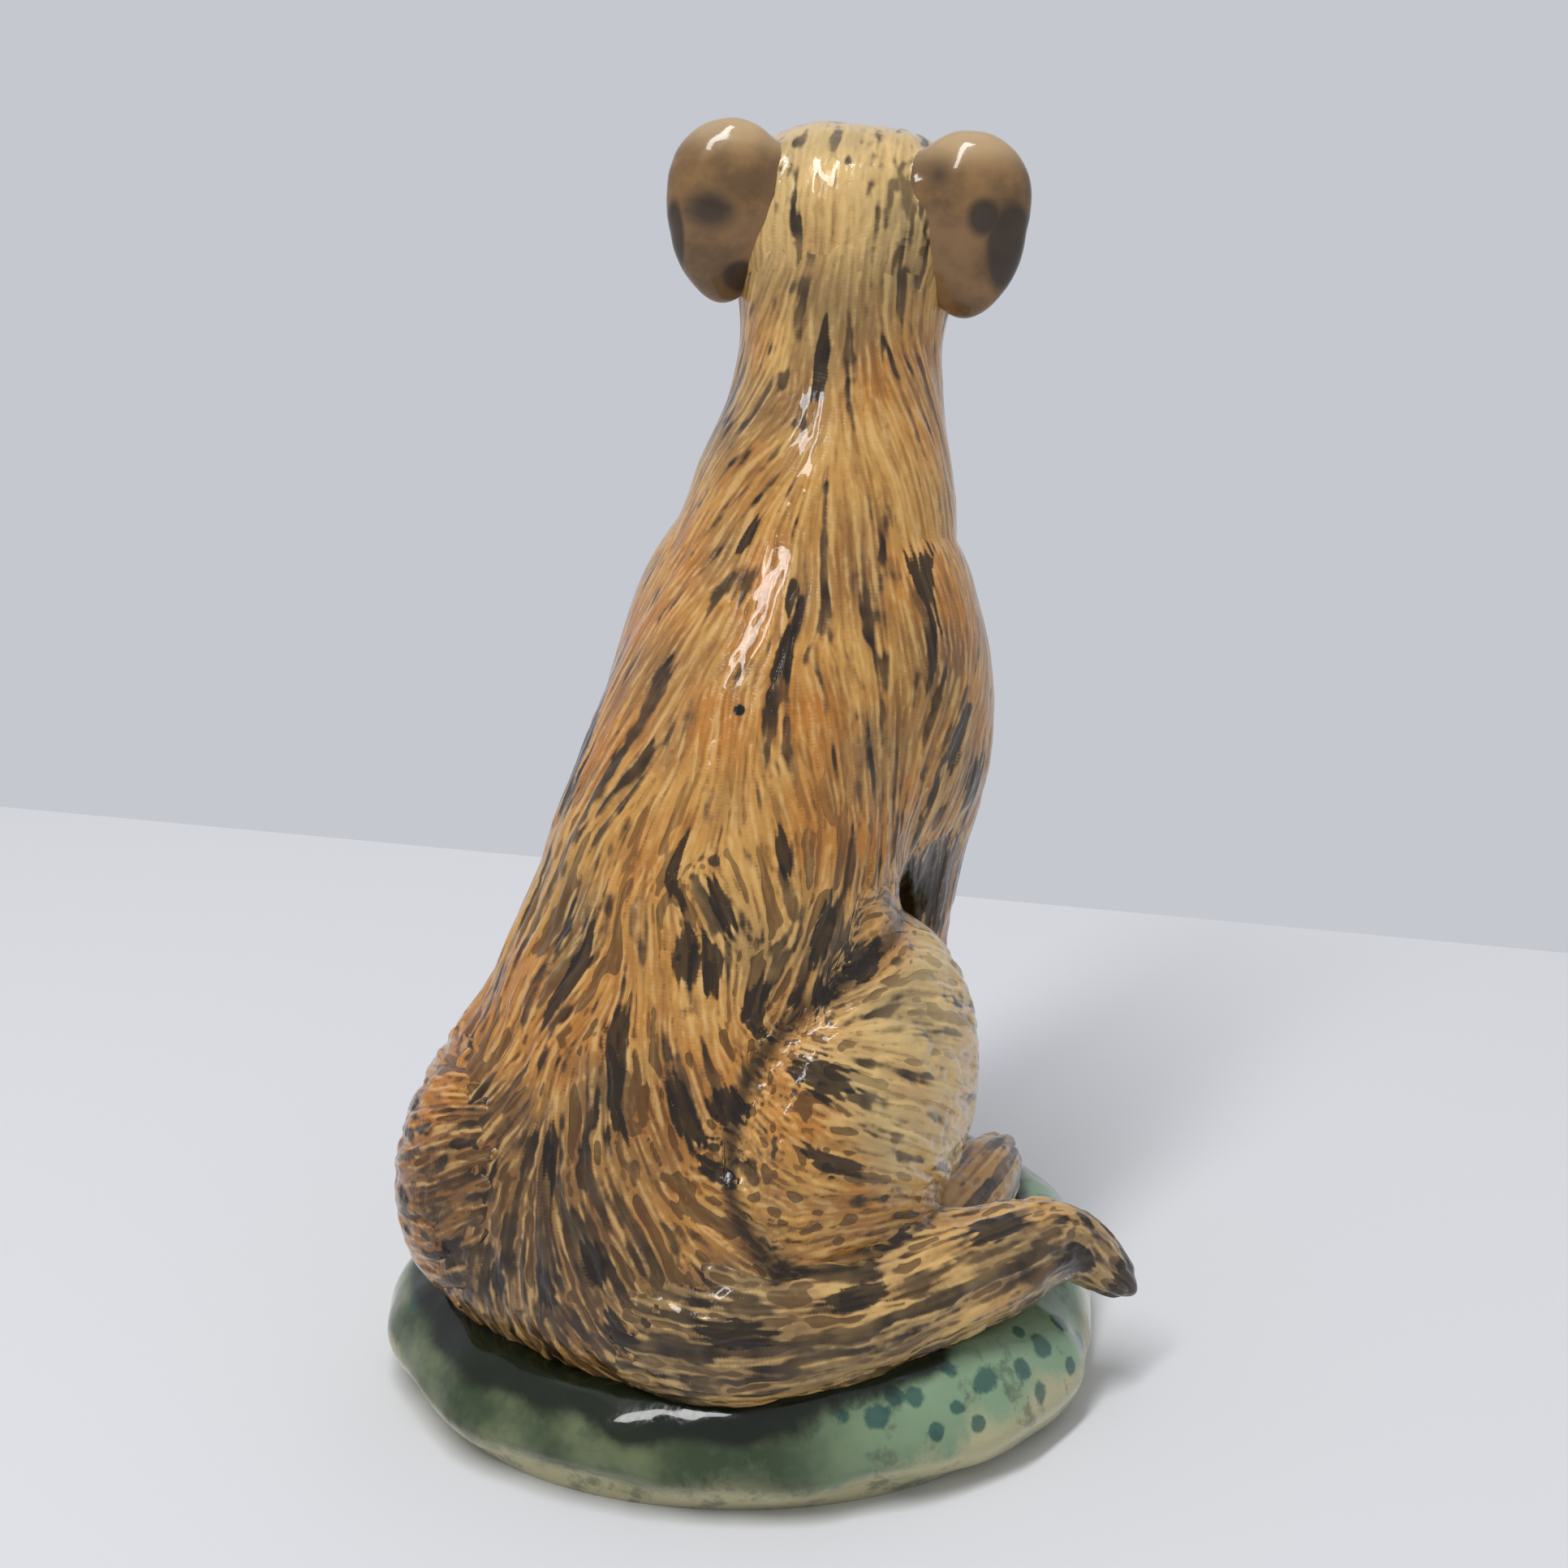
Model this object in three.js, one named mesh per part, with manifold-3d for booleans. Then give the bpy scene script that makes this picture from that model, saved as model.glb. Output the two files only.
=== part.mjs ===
// A seated brindle hound on a low green mound, hand-built in clay: every roll, ball and slab is its own
// piece, luted to its neighbours along a thin line of slip, then glazed and fired.
// Millimetres, +Z up. The chest faces -Y, the dog's right side is -X, the origin is on the mound's underside.

import * as THREE from "three";
import { mergeVertices } from "three/addons/utils/BufferGeometryUtils.js";
import Module from "manifold-3d";

const wasm = await Module();
wasm.setup();

// Driving dimensions
// In a piece's sections left is +X, out is away from the middle, back is +Y and up counts from the seat.

const SEAM = 0.3; // slip line between two luted pieces

// Mound: an oval cushion with a rolled rim, hollowed where the dog sits
const MOUND_WIDTH = 99;
const MOUND_LENGTH = 106;
const MOUND_HEIGHT = 16;
const MOUND_LEFT = 2.1;
const MOUND_BACK = -4;
const SEAT_HEIGHT = 13.5;
const BULGE_HEIGHT = 7;
const FOOT_INSET = 5;
const RIM_WIDTH = 15;
const RIM_SLOPE = 16.5;
const MOUND_WOBBLE = 1;
const MOUND_FULL_SIDE = 25;

// Vent: the core reamed out from below so that the thick clay dries and fires evenly
const VENT_DIAMETER = 14;
const VENT_TOP_DIAMETER = 8;
const VENT_BACK = 15;
const VENT_HEIGHT = 88;

// Trunk: from under the seat up to the root of the neck
const SEAT = { left: 5, back: 12, up: -7, width: 64, depth: 56 };
const RUMP = { left: 5.5, back: 12, up: 11, width: 71, depth: 59 };
const LOIN = { left: 5, back: 9, up: 33, width: 62, depth: 51 };
const WAIST = { left: 4, back: 2, up: 56, width: 50, depth: 43 };
const RIBS = { left: 2, back: -10, up: 79, width: 45, depth: 41 };
const SHOULDERS = { left: 0, back: -20.5, up: 98, width: 43.5, depth: 38 };
const WITHERS = { left: 0, back: -27, up: 113, width: 35, depth: 34 };

// Neck: from inside the shoulders to inside the skull
const NECK_ROOT_WIDTH = 35;
const NECK_ROOT_DEPTH = 34;
const NECK_WIDTH = 26.5;
const NECK_DEPTH = 29;
const NECK_TOP_SINK = 4;

// Thighs: the right knee is drawn up, the left thigh lies lower and further back
const LEFT_THIGH = { out: 27, back: 14, up: 19.5, length: 50, height: 39, width: 30, rise: 3 };
const RIGHT_THIGH = { out: 16.5, back: 5, up: 29.5, length: 54, height: 48, width: 30, rise: 10 };

// Forelegs: from the shoulder down to the wrist, which stands on the paw
const UPPER_ARM = { out: 16.8, back: -20.5, up: 104, width: 17, depth: 27 };
const ELBOW = { out: 17.2, back: -20.5, up: 76, width: 17, depth: 27 };
const FOREARM = { out: 12.5, back: -27.5, up: 47, width: 11.5, depth: 13 };
const WRIST = { out: 9.5, back: -35, up: 13, width: 10.5, depth: 10.5 };

// Paws: pads with a row of toes, pressed a little into the mound
const FOREPAW = { back: -39.5, width: 13, length: 18, height: 10 };
const HIND_FOOT = { out: 25, back: -13, width: 13, length: 42, height: 13 };
const PAW_SINK = 1.8;
const TOES = 4;
const TOE_DIAMETER = 5;
const TOE_LENGTH = 8;
const TOE_REACH = 2.2;

// Tail: a tapered coil laid round the right thigh, its tip drooping over the mound's edge
const TAIL_ROOT = { left: 10, back: 24, up: 8, thick: 19 };
const TAIL_REAR = { left: -12, back: 33, up: 9, thick: 19 };
const TAIL_BEND = { left: -26, back: 24, up: 9, thick: 15 };
const TAIL_SIDE = { left: -36.5, back: 6, up: 10, thick: 15 };
const TAIL_FALL = { left: -43.5, back: -7, up: 9, thick: 12 };
const TAIL_TIP = { left: -52.5, back: -14, up: 0, thick: 8.5 };

// Head: placed by the middle of the skull, turned to the dog's left and tilted to its right
const HEAD = { left: 1.7, back: -36, up: 141, turn: 20, tilt: 2.8 };
const SKULL_LENGTH = 33;
const SKULL_WIDTH = 31;
const SKULL_HEIGHT = 25;
const SKULL_SQUARE = 0.8;
const BROW_WIDTH = 22;
const BROW_HEIGHT = 21;
const CROWN_RISE = 2;
const MUZZLE_LENGTH = 21.5;
const MUZZLE_WIDTH = 15.5;
const MUZZLE_HEIGHT = 13;
const MUZZLE_TIP_WIDTH = 13;
const MUZZLE_TIP_HEIGHT = 12;
const MUZZLE_DROP = 4;
const MUZZLE_SINK = 12;
const JAW_WIDTH = 12;
const JAW_TIP_WIDTH = 9;
const JAW_HEIGHT = 7.5;
const JAW_LENGTH = 21;
const NOSE_WIDTH = 7.2;
const NOSE_HEIGHT = 5;
const EYE_DIAMETER = 4.8;
const EYE_SPACING = 16;
const EYE_RISE = 4.6;

// Ears: thick leaves set on the corners of the skull, hanging to the jaw
const EAR_SPREAD = 16.4;
const EAR_WIDTH = 16;
const EAR_TIP_WIDTH = 13;
const EAR_LENGTH = 24.5;
const EAR_THICKNESS = 9;
const EAR_TIP_THICKNESS = 7.4;
const EAR_TOP = 14.4;
const EAR_BACK = 9.5;
const EAR_CURL = 2;

// Facets
const TRUNK_SIDES = 28;
const TRUNK_RINGS = 18;
const MOUND_SIDES = 56;
const MOUND_RINGS = 14;
const TAIL_RINGS = 20;
const LIMB_SIDES = 18;
const LIMB_RINGS = 11;
const SMALL_SIDES = 10;
const SMALL_RINGS = 6;

// Clay forms

const LEFT = 1;
const RIGHT = -1;
const X_AXIS = new THREE.Vector3(1, 0, 0);
const Z_AXIS = new THREE.Vector3(0, 0, 1);
const IN_PLACE = new THREE.Matrix4();

// A closed triangle mesh as a solid. Triangles that collapse at a pole are left out.
function solidOf(geometry) {
  const bare = geometry.clone();
  bare.deleteAttribute("normal");
  bare.deleteAttribute("uv");
  const merged = mergeVertices(bare, 1e-4);
  const index = merged.index.array;
  const kept = [];
  for (let i = 0; i < index.length; i += 3) {
    const [a, b, c] = [index[i], index[i + 1], index[i + 2]];
    if (a !== b && b !== c && c !== a) kept.push(a, b, c);
  }
  const vertProperties = merged.attributes.position.array;
  return new wasm.Manifold(new wasm.Mesh({ numProp: 3, vertProperties, triVerts: new Uint32Array(kept) }));
}

function geometryOf(solid) {
  const mesh = solid.getMesh();
  const geometry = new THREE.BufferGeometry();
  geometry.setAttribute("position", new THREE.BufferAttribute(mesh.vertProperties, 3));
  geometry.setIndex(new THREE.BufferAttribute(mesh.triVerts, 1));
  const flat = geometry.toNonIndexed();
  flat.computeVertexNormals();
  return flat;
}

// A roll of clay: an ellipse carried along a smooth path and rounded off at both ends.
// Each station has `at`, its place, and `size`, the full width along `side` and the full depth across it.
// `blunt` is the fullness of the two ends: 2 is a ball end and more is flatter.
// `square` is the power of the section's sine and cosine: 1 is an ellipse and less has fuller corners.
// The form is a function of how far its skin has grown, so that a neighbour can be cut to it.
function roll({ stations, side = X_AXIS, blunt = [3, 3], square = 1, ...facets }) {
  const { sides = LIMB_SIDES, rings = LIMB_RINGS } = facets;
  const full = (part) => Math.sign(part) * Math.abs(part) ** square;
  const path = new THREE.CatmullRomCurve3(stations.map((s) => new THREE.Vector3(...s.at)));
  const sizes = new THREE.SplineCurve(stations.map((s) => new THREE.Vector2(...s.size)));
  const triangles = [];
  const at = (ring, i) => (ring === 0 ? 0 : 1 + (ring - 1) * sides + (i % sides));
  const last = at(rings, 0);
  for (let i = 0; i < sides; i++) {
    triangles.push(0, at(1, i + 1), at(1, i));
    triangles.push(last, at(rings - 1, i), at(rings - 1, i + 1));
    for (let ring = 1; ring < rings - 1; ring++) {
      triangles.push(at(ring, i), at(ring, i + 1), at(ring + 1, i + 1));
      triangles.push(at(ring, i), at(ring + 1, i + 1), at(ring + 1, i));
    }
  }
  return (grow = 0, frame = IN_PLACE) => {
    const points = [];
    for (let ring = 0; ring <= rings; ring++) {
      const t = (1 - Math.cos((Math.PI * ring) / rings)) / 2;
      const toEnd = Math.abs(2 * t - 1);
      const ending = Math.sqrt(Math.max(0, 1 - toEnd ** (t < 0.5 ? blunt[0] : blunt[1])));
      const tangent = path.getTangent(t);
      const across = side.clone().addScaledVector(tangent, -side.dot(tangent)).normalize();
      const through = tangent.clone().cross(across);
      const [width, depth] = sizes.getPoint(t).toArray();
      const pole = ring === 0 || ring === rings;
      const centre = path.getPoint(t);
      if (pole) centre.addScaledVector(tangent, ring === 0 ? -grow : grow);
      for (let i = 0; i < (pole ? 1 : sides); i++) {
        const angle = (2 * Math.PI * i) / sides;
        const point = centre.clone();
        if (!pole) {
          point.addScaledVector(across, full(Math.cos(angle)) * ((ending * width) / 2 + grow));
          point.addScaledVector(through, full(Math.sin(angle)) * ((ending * depth) / 2 + grow));
        }
        points.push(...point.applyMatrix4(frame).toArray());
      }
    }
    const geometry = new THREE.BufferGeometry();
    geometry.setAttribute("position", new THREE.Float32BufferAttribute(points, 3));
    geometry.setIndex(triangles);
    return solidOf(geometry);
  };
}

// A ball of clay, pressed to a width, a length along Y and a height.
function ball([x, y, z], [width, length, height], options = {}) {
  const at = (back) => ({ at: [x, y + back, z], size: [width, height] });
  const stations = [at(length / 2), at(0), at(-length / 2)];
  return roll({ stations, blunt: [2, 2], sides: SMALL_SIDES, rings: SMALL_RINGS, ...options });
}

// A piece scored and luted onto its neighbours: its seats are cut to their skins, a slip line away, and the
// slivers that the cut leaves loose are wiped off with the slip.
function luted(piece, ...neighbours) {
  const cut = neighbours.reduce((solid, form) => solid.subtract(form(SEAM)), piece);
  return cut.decompose().reduce((best, body) => (body.volume() > best.volume() ? body : best));
}

// Mound

// The skin is a lathe profile, made oval, with a hand-pressed fullness on one side of its outline.
function mound(grow = 0) {
  const radius = MOUND_LENGTH / 2;
  const crest = radius - RIM_WIDTH / 2;
  const skin = new THREE.SplineCurve([
    new THREE.Vector2(radius - FOOT_INSET + grow, -grow),
    new THREE.Vector2(radius + grow, BULGE_HEIGHT),
    new THREE.Vector2(crest, MOUND_HEIGHT + grow),
    new THREE.Vector2(crest - RIM_SLOPE, SEAT_HEIGHT + grow),
    new THREE.Vector2(0, SEAT_HEIGHT + grow),
  ]);
  const profile = [new THREE.Vector2(0, -grow), ...skin.getPoints(MOUND_RINGS)];
  profile[profile.length - 1].x = 0;
  const geometry = new THREE.LatheGeometry(profile, MOUND_SIDES);
  geometry.rotateX(Math.PI / 2);
  const spot = geometry.attributes.position;
  for (let i = 0; i < spot.count; i++) {
    const [x, y] = [spot.getX(i), spot.getY(i)];
    const angle = Math.atan2(y, x) - THREE.MathUtils.degToRad(MOUND_FULL_SIDE);
    const lobes = Math.cos(2 * angle) + (Math.cos(3 * angle) - Math.cos(4 * angle)) / 2;
    const swell = 1 + (MOUND_WOBBLE * lobes) / radius;
    spot.setXY(i, (x * swell * MOUND_WIDTH) / MOUND_LENGTH + MOUND_LEFT, y * swell + MOUND_BACK);
  }
  return solidOf(geometry);
}

// The vent runs up through the mound and leans forward with the trunk.
const ventSize = [VENT_DIAMETER, VENT_DIAMETER];
const vent = roll({
  stations: [
    { at: [SEAT.left, VENT_BACK, -VENT_DIAMETER], size: ventSize },
    { at: [SEAT.left, VENT_BACK, SEAT_HEIGHT + RUMP.up], size: ventSize },
    { at: [WAIST.left, WAIST.back, VENT_HEIGHT], size: [VENT_TOP_DIAMETER, VENT_TOP_DIAMETER] },
  ],
  blunt: [20, 3],
  sides: SMALL_SIDES,
});

// Trunk and neck

const place = ({ left, back, up }) => new THREE.Vector3(left, back, SEAT_HEIGHT + up);
const trunkSections = [SEAT, RUMP, LOIN, WAIST, RIBS, SHOULDERS, WITHERS];
const trunk = roll({
  stations: trunkSections.map((s) => ({ at: place(s).toArray(), size: [s.width, s.depth] })),
  blunt: [9, 3.6],
  sides: TRUNK_SIDES,
  rings: TRUNK_RINGS,
});

const neckTop = place(HEAD).addScaledVector(Z_AXIS, NECK_TOP_SINK);
const neckMiddle = place(WITHERS).lerp(neckTop, 0.5);
const neckRoot = [NECK_ROOT_WIDTH, NECK_ROOT_DEPTH];
const neckSize = [NECK_WIDTH, NECK_DEPTH];
const neckTaper = neckRoot.map((size, i) => (size + neckSize[i]) / 2);
const neck = roll({
  stations: [
    { at: place(SHOULDERS).toArray(), size: neckRoot },
    { at: place(WITHERS).toArray(), size: neckTaper },
    { at: neckMiddle.toArray(), size: neckSize },
    { at: neckTop.toArray(), size: neckSize },
  ],
  blunt: [6, 4],
});

// Legs

// A thigh: a flat oval of clay from the hip, behind, to the knee, in front.
function thigh(hand) {
  const { out, back, up, length, height, width, rise } = hand === LEFT ? LEFT_THIGH : RIGHT_THIGH;
  const along = (step) => ({
    at: [hand * out, back - (step * length) / 2, SEAT_HEIGHT + up + step * rise],
    size: [width, height],
  });
  return roll({ stations: [along(-1), along(0), along(1)], blunt: [2.2, 2.2] });
}

function foreleg(hand) {
  const section = ({ out, back, up, width, depth }) => ({
    at: [hand * out, back, SEAT_HEIGHT + up],
    size: [width, depth],
  });
  const stand = { ...WRIST, up: 0 };
  return roll({ stations: [UPPER_ARM, ELBOW, FOREARM, WRIST, stand].map(section), blunt: [2.6, 8] });
}

// A paw: a pad of clay with a row of toes across its front, the middle toes furthest forward.
function paw(x, { back, width, length, height }) {
  const z = MOUND_HEIGHT - PAW_SINK + height / 2;
  const pad = ball([x, back, z], [width, length, height], { blunt: [3, 3], sides: LIMB_SIDES });
  const pitch = (width - TOE_DIAMETER) / (TOES - 1);
  const toes = Array.from({ length: TOES }, (_, i) => {
    const across = (i - (TOES - 1) / 2) * pitch;
    const front = back - length / 2 + TOE_DIAMETER / 2 - TOE_REACH * (1 - Math.abs(across) / width);
    const toeHeight = z - (height - TOE_DIAMETER) / 2;
    return ball([x + across, front, toeHeight], [TOE_DIAMETER, TOE_LENGTH, TOE_DIAMETER]);
  });
  return (grow = 0) => toes.reduce((solid, toe) => solid.add(toe(grow)), pad(grow));
}

// Tail

const tailSections = [TAIL_ROOT, TAIL_REAR, TAIL_BEND, TAIL_SIDE, TAIL_FALL, TAIL_TIP];
const tail = roll({
  stations: tailSections.map((s) => ({ at: place(s).toArray(), size: [s.thick, s.thick] })),
  side: Z_AXIS,
  blunt: [6, 4.5],
  rings: TAIL_RINGS,
});

// Head

const headGroup = new THREE.Group();
headGroup.position.copy(place(HEAD));
headGroup.rotation.order = "ZYX";
headGroup.rotation.z = THREE.MathUtils.degToRad(HEAD.turn);
headGroup.rotation.y = -THREE.MathUtils.degToRad(HEAD.tilt);
headGroup.updateMatrix();
const toHead = headGroup.matrix.clone().invert();
const neckInHead = (grow) => neck(grow, toHead);

const skull = roll({
  stations: [
    { at: [0, SKULL_LENGTH / 2, 0], size: [SKULL_WIDTH - CROWN_RISE, SKULL_HEIGHT] },
    { at: [0, 0, CROWN_RISE], size: [SKULL_WIDTH, SKULL_HEIGHT] },
    { at: [0, -SKULL_LENGTH / 2, 0], size: [BROW_WIDTH, BROW_HEIGHT] },
  ],
  blunt: [2.6, 2.4],
  square: SKULL_SQUARE,
});

const muzzleRoot = MUZZLE_SINK - SKULL_LENGTH / 2;
const muzzleTip = -SKULL_LENGTH / 2 - MUZZLE_LENGTH + MUZZLE_SINK / 2;
const muzzle = roll({
  stations: [
    { at: [0, muzzleRoot, -MUZZLE_DROP], size: [MUZZLE_WIDTH + CROWN_RISE, MUZZLE_HEIGHT + CROWN_RISE] },
    { at: [0, (muzzleRoot + muzzleTip) / 2, -MUZZLE_DROP], size: [MUZZLE_WIDTH, MUZZLE_HEIGHT] },
    { at: [0, muzzleTip, -MUZZLE_DROP], size: [MUZZLE_TIP_WIDTH, MUZZLE_TIP_HEIGHT] },
  ],
  blunt: [4, 4],
});

const jawDrop = MUZZLE_DROP + MUZZLE_HEIGHT / 2;
const jaw = roll({
  stations: [
    { at: [0, muzzleRoot, -jawDrop], size: [JAW_WIDTH, JAW_HEIGHT] },
    { at: [0, muzzleRoot - JAW_LENGTH, -jawDrop], size: [JAW_TIP_WIDTH, JAW_HEIGHT] },
  ],
});

const nosePlace = [0, muzzleTip + NOSE_HEIGHT / 5, MUZZLE_TIP_HEIGHT / 4 - MUZZLE_DROP];
const nose = ball(nosePlace, [NOSE_WIDTH, NOSE_HEIGHT, NOSE_HEIGHT]);

function eye(hand) {
  const front = (MUZZLE_SINK - SKULL_LENGTH) / 2;
  return ball([(hand * EYE_SPACING) / 2, front, EYE_RISE], [EYE_DIAMETER, EYE_DIAMETER, EYE_DIAMETER]);
}

// An ear: folded over at the top, cupped forward and narrower at the tip.
function ear(hand) {
  const x = hand * EAR_SPREAD;
  const full = [EAR_WIDTH, EAR_THICKNESS];
  const tip = [EAR_TIP_WIDTH, EAR_TIP_THICKNESS];
  const crest = { at: [x - hand * EAR_CURL, EAR_BACK - EAR_CURL / 2, EAR_TOP], size: full };
  const middle = { at: [x, EAR_BACK + EAR_CURL / 2, EAR_TOP - 0.4 * EAR_LENGTH], size: full };
  const end = { at: [x, EAR_BACK - EAR_CURL / 2, EAR_TOP - EAR_LENGTH], size: tip };
  return roll({ stations: [crest, middle, end], blunt: [2.4, 2.6] });
}

// Finishes

const glaze = (color, roughness = 0.14) => new THREE.MeshStandardMaterial({ color, roughness });
const honeyGlaze = glaze(0xb98746);
const paleGlaze = glaze(0xc9a468);
const earGlaze = glaze(0x9a7546);
const blackGlaze = glaze(0x1d1815, 0.1);
const greenGlaze = glaze(0x5f8f73);

function clay(name, solid, material) {
  const mesh = new THREE.Mesh(geometryOf(solid), material);
  mesh.name = name;
  return mesh;
}

// Assembly

const dog = new THREE.Group();
const hands = [[LEFT, "left"], [RIGHT, "right"]];
const thighs = hands.map(([hand]) => thigh(hand));

dog.add(clay("base_mound", mound().subtract(vent()), greenGlaze));
dog.add(clay("trunk", luted(trunk().subtract(vent()), mound), honeyGlaze));
dog.add(clay("neck", luted(neck(), trunk), honeyGlaze));
dog.add(clay("tail", luted(tail(), trunk, mound, ...thighs), honeyGlaze));

for (const [hand, name] of hands) {
  const leg = foreleg(hand);
  const forepaw = paw(hand * WRIST.out, FOREPAW);
  const hindFoot = paw(hand * HIND_FOOT.out, HIND_FOOT);
  dog.add(clay(`${name}_thigh`, luted(thigh(hand)(), trunk, mound), paleGlaze));
  dog.add(clay(`${name}_foreleg`, luted(leg(), trunk, neck, mound, ...thighs), honeyGlaze));
  dog.add(clay(`${name}_forepaw`, luted(forepaw(), leg, mound), paleGlaze));
  const footSeats = [trunk, mound, leg, forepaw, tail, ...thighs];
  dog.add(clay(`${name}_hind_foot`, luted(hindFoot(), ...footSeats), paleGlaze));
}

const eyes = hands.map(([hand]) => eye(hand));
headGroup.add(clay("skull", luted(skull(), neckInHead, ...eyes), honeyGlaze));
headGroup.add(clay("muzzle", luted(muzzle(), skull, neckInHead, ...eyes), honeyGlaze));
headGroup.add(clay("lower_jaw", luted(jaw(), muzzle, skull, neckInHead), honeyGlaze));
headGroup.add(clay("nose", luted(nose(), muzzle), blackGlaze));
hands.forEach(([hand, name], i) => {
  headGroup.add(clay(`${name}_eye`, eyes[i](), blackGlaze));
  headGroup.add(clay(`${name}_ear`, luted(ear(hand)(), skull, neckInHead), earGlaze));
});
dog.add(headGroup);

export default dog;
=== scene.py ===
import bpy
import numpy as np
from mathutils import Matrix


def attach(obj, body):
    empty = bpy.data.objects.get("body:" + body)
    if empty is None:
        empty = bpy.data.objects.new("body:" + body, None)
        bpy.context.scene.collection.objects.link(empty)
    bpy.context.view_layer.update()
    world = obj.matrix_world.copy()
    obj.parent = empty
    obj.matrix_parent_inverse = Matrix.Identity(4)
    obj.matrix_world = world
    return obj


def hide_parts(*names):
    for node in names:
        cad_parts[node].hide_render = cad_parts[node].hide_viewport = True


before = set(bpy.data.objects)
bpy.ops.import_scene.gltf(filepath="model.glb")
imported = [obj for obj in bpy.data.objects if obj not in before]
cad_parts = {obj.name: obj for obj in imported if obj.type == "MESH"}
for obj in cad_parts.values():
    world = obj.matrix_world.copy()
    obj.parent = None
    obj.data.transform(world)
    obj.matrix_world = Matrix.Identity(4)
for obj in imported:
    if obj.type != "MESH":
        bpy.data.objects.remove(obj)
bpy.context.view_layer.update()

# Base mound
# An oval cushion of stoneware pressed out by hand, its rim rolled over and its top hollowed for the dog.
# A vent is reamed up through it. Green glaze, thin and cream at the foot, dark in the hollow, none below.

MOUND_MIDDLE = np.array([2.1, -4.0])
MOUND_WIDTH, MOUND_LENGTH = 99.0, 106.0
MOUND_SKIN = np.array([(48, 0), (53, 7), (45.5, 16), (29, 13.5), (0, 13.5)], float)  # reach and height
MOUND_WOBBLE, MOUND_FULL_SIDE = 1.0, np.radians(25)
VENT_MIDDLE, VENT_REACH = np.array([5.0, 15.0]), 7.0
POOL_SIDE, TEAL_SIDE = np.radians(82), np.radians(180)
SKIN_ROWS, INNER_ROWS, MOUND_COLUMNS = 130, 11, 420
HOLLOW_ROWS = 80, 100  # rows of the skin between which the rim goes over into the hollow

# Teal drops on the rim: a place and a reach
GLAZE_DROPS = np.array([
    (-35, 25, 14, 2.5), (-41, 16, 13, 3), (-44, 10, 12, 2.5), (-45, 4, 13, 3), (-45, -3, 13, 2.5),
    (-37, 19, 15, 2), (-32, 30, 13, 2.5), (-38, 25, 10, 2), (-47, -6, 9, 3), (-29, 33, 14, 2),
    (-42, 20, 9, 2), (-33, 27, 15, 2), (-39, 14, 15, 2), (-46, 9, 9, 2.5), (-42, 5, 15, 2),
    (-48, 1, 9, 2), (-40, 22, 12, 2), (-36, 30, 10, 1.5), (-4, 44, 13, 2.5), (26, 38, 14, 2.5),
    (37, 29, 13, 2.5), (46, 8, 11, 3), (49, -10, 9, 3), (36, -38, 10, 3), (14, -50, 9, 3),
    (-20, -46, 10, 3), (-40, -30, 9, 3),
], float)
GRAINS = np.random.default_rng(11).uniform(-1, 1, (64, 64, 64))


def through(points, t, lead=1.0, power=0.5):
    """A curve through the points for t from 0 to 1: on each span a cubic whose end slopes come from the spans
    beside it, timed by their lengths to a power; lead carries the first and last span on past the ends."""
    before = points[0] - lead * (points[1] - points[0])
    after = points[-1] + lead * (points[-1] - points[-2])
    p = np.vstack([before, points, after])
    spans = len(points) - 1
    span = np.clip(np.floor(t * spans).astype(int), 0, spans - 1)
    w = (t * spans - span)[:, None]
    p0, p1, p2, p3 = (p[span + k] for k in range(4))
    chords = p1 - p0, p2 - p1, p3 - p2
    d0, d1, d2 = (np.linalg.norm(chord, axis=1, keepdims=True) ** power for chord in chords)
    m1 = ((p1 - p0) / d0 - (p2 - p0) / (d0 + d1) + (p2 - p1) / d1) * d1
    m2 = ((p2 - p1) / d1 - (p3 - p1) / (d1 + d2) + (p3 - p2) / d2) * d1
    return p1 + m1 * w + (3 * (p2 - p1) - 2 * m1 - m2) * w**2 + (2 * (p1 - p2) + m1 + m2) * w**3


def grain(points, size, shift=0.0):
    """Smooth noise from -1 to 1: seeded numbers on a lattice of this size, eased from corner to corner."""
    spot = points / size + shift
    cell = np.floor(spot).astype(int)
    ease = spot - cell
    ease = ease * ease * (3 - 2 * ease)
    total = np.zeros(points.shape[:-1])
    for corner in np.ndindex(2, 2, 2):
        at = (cell + corner) & 63
        share = np.where(corner, ease, 1 - ease)
        total += share[..., 0] * share[..., 1] * share[..., 2] * GRAINS[at[..., 0], at[..., 1], at[..., 2]]
    return total


def step(low, high, value):
    """An eased step: 0 below low, 1 above high and a smooth cubic in between."""
    x = np.clip((value - low) / (high - low), 0, 1)
    return x * x * (3 - 2 * x)


def unit(vectors):
    """Vectors brought to length 1."""
    return vectors / np.maximum(np.linalg.norm(vectors, axis=-1, keepdims=True), 1e-9)


def facing(points, loop=False):
    """Unit normals of a grid: the step round it crossed with that along it; a pole takes its ring's mean."""
    around = np.roll(points, -1, 1) - np.roll(points, 1, 1)
    along = np.roll(points, -1, 0) - np.roll(points, 1, 0) if loop else np.gradient(points, axis=0)
    normal = np.cross(around, along)
    if not loop:
        normal[0], normal[-1] = normal[1].mean(0), normal[-2].mean(0)
    return unit(normal)


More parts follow.
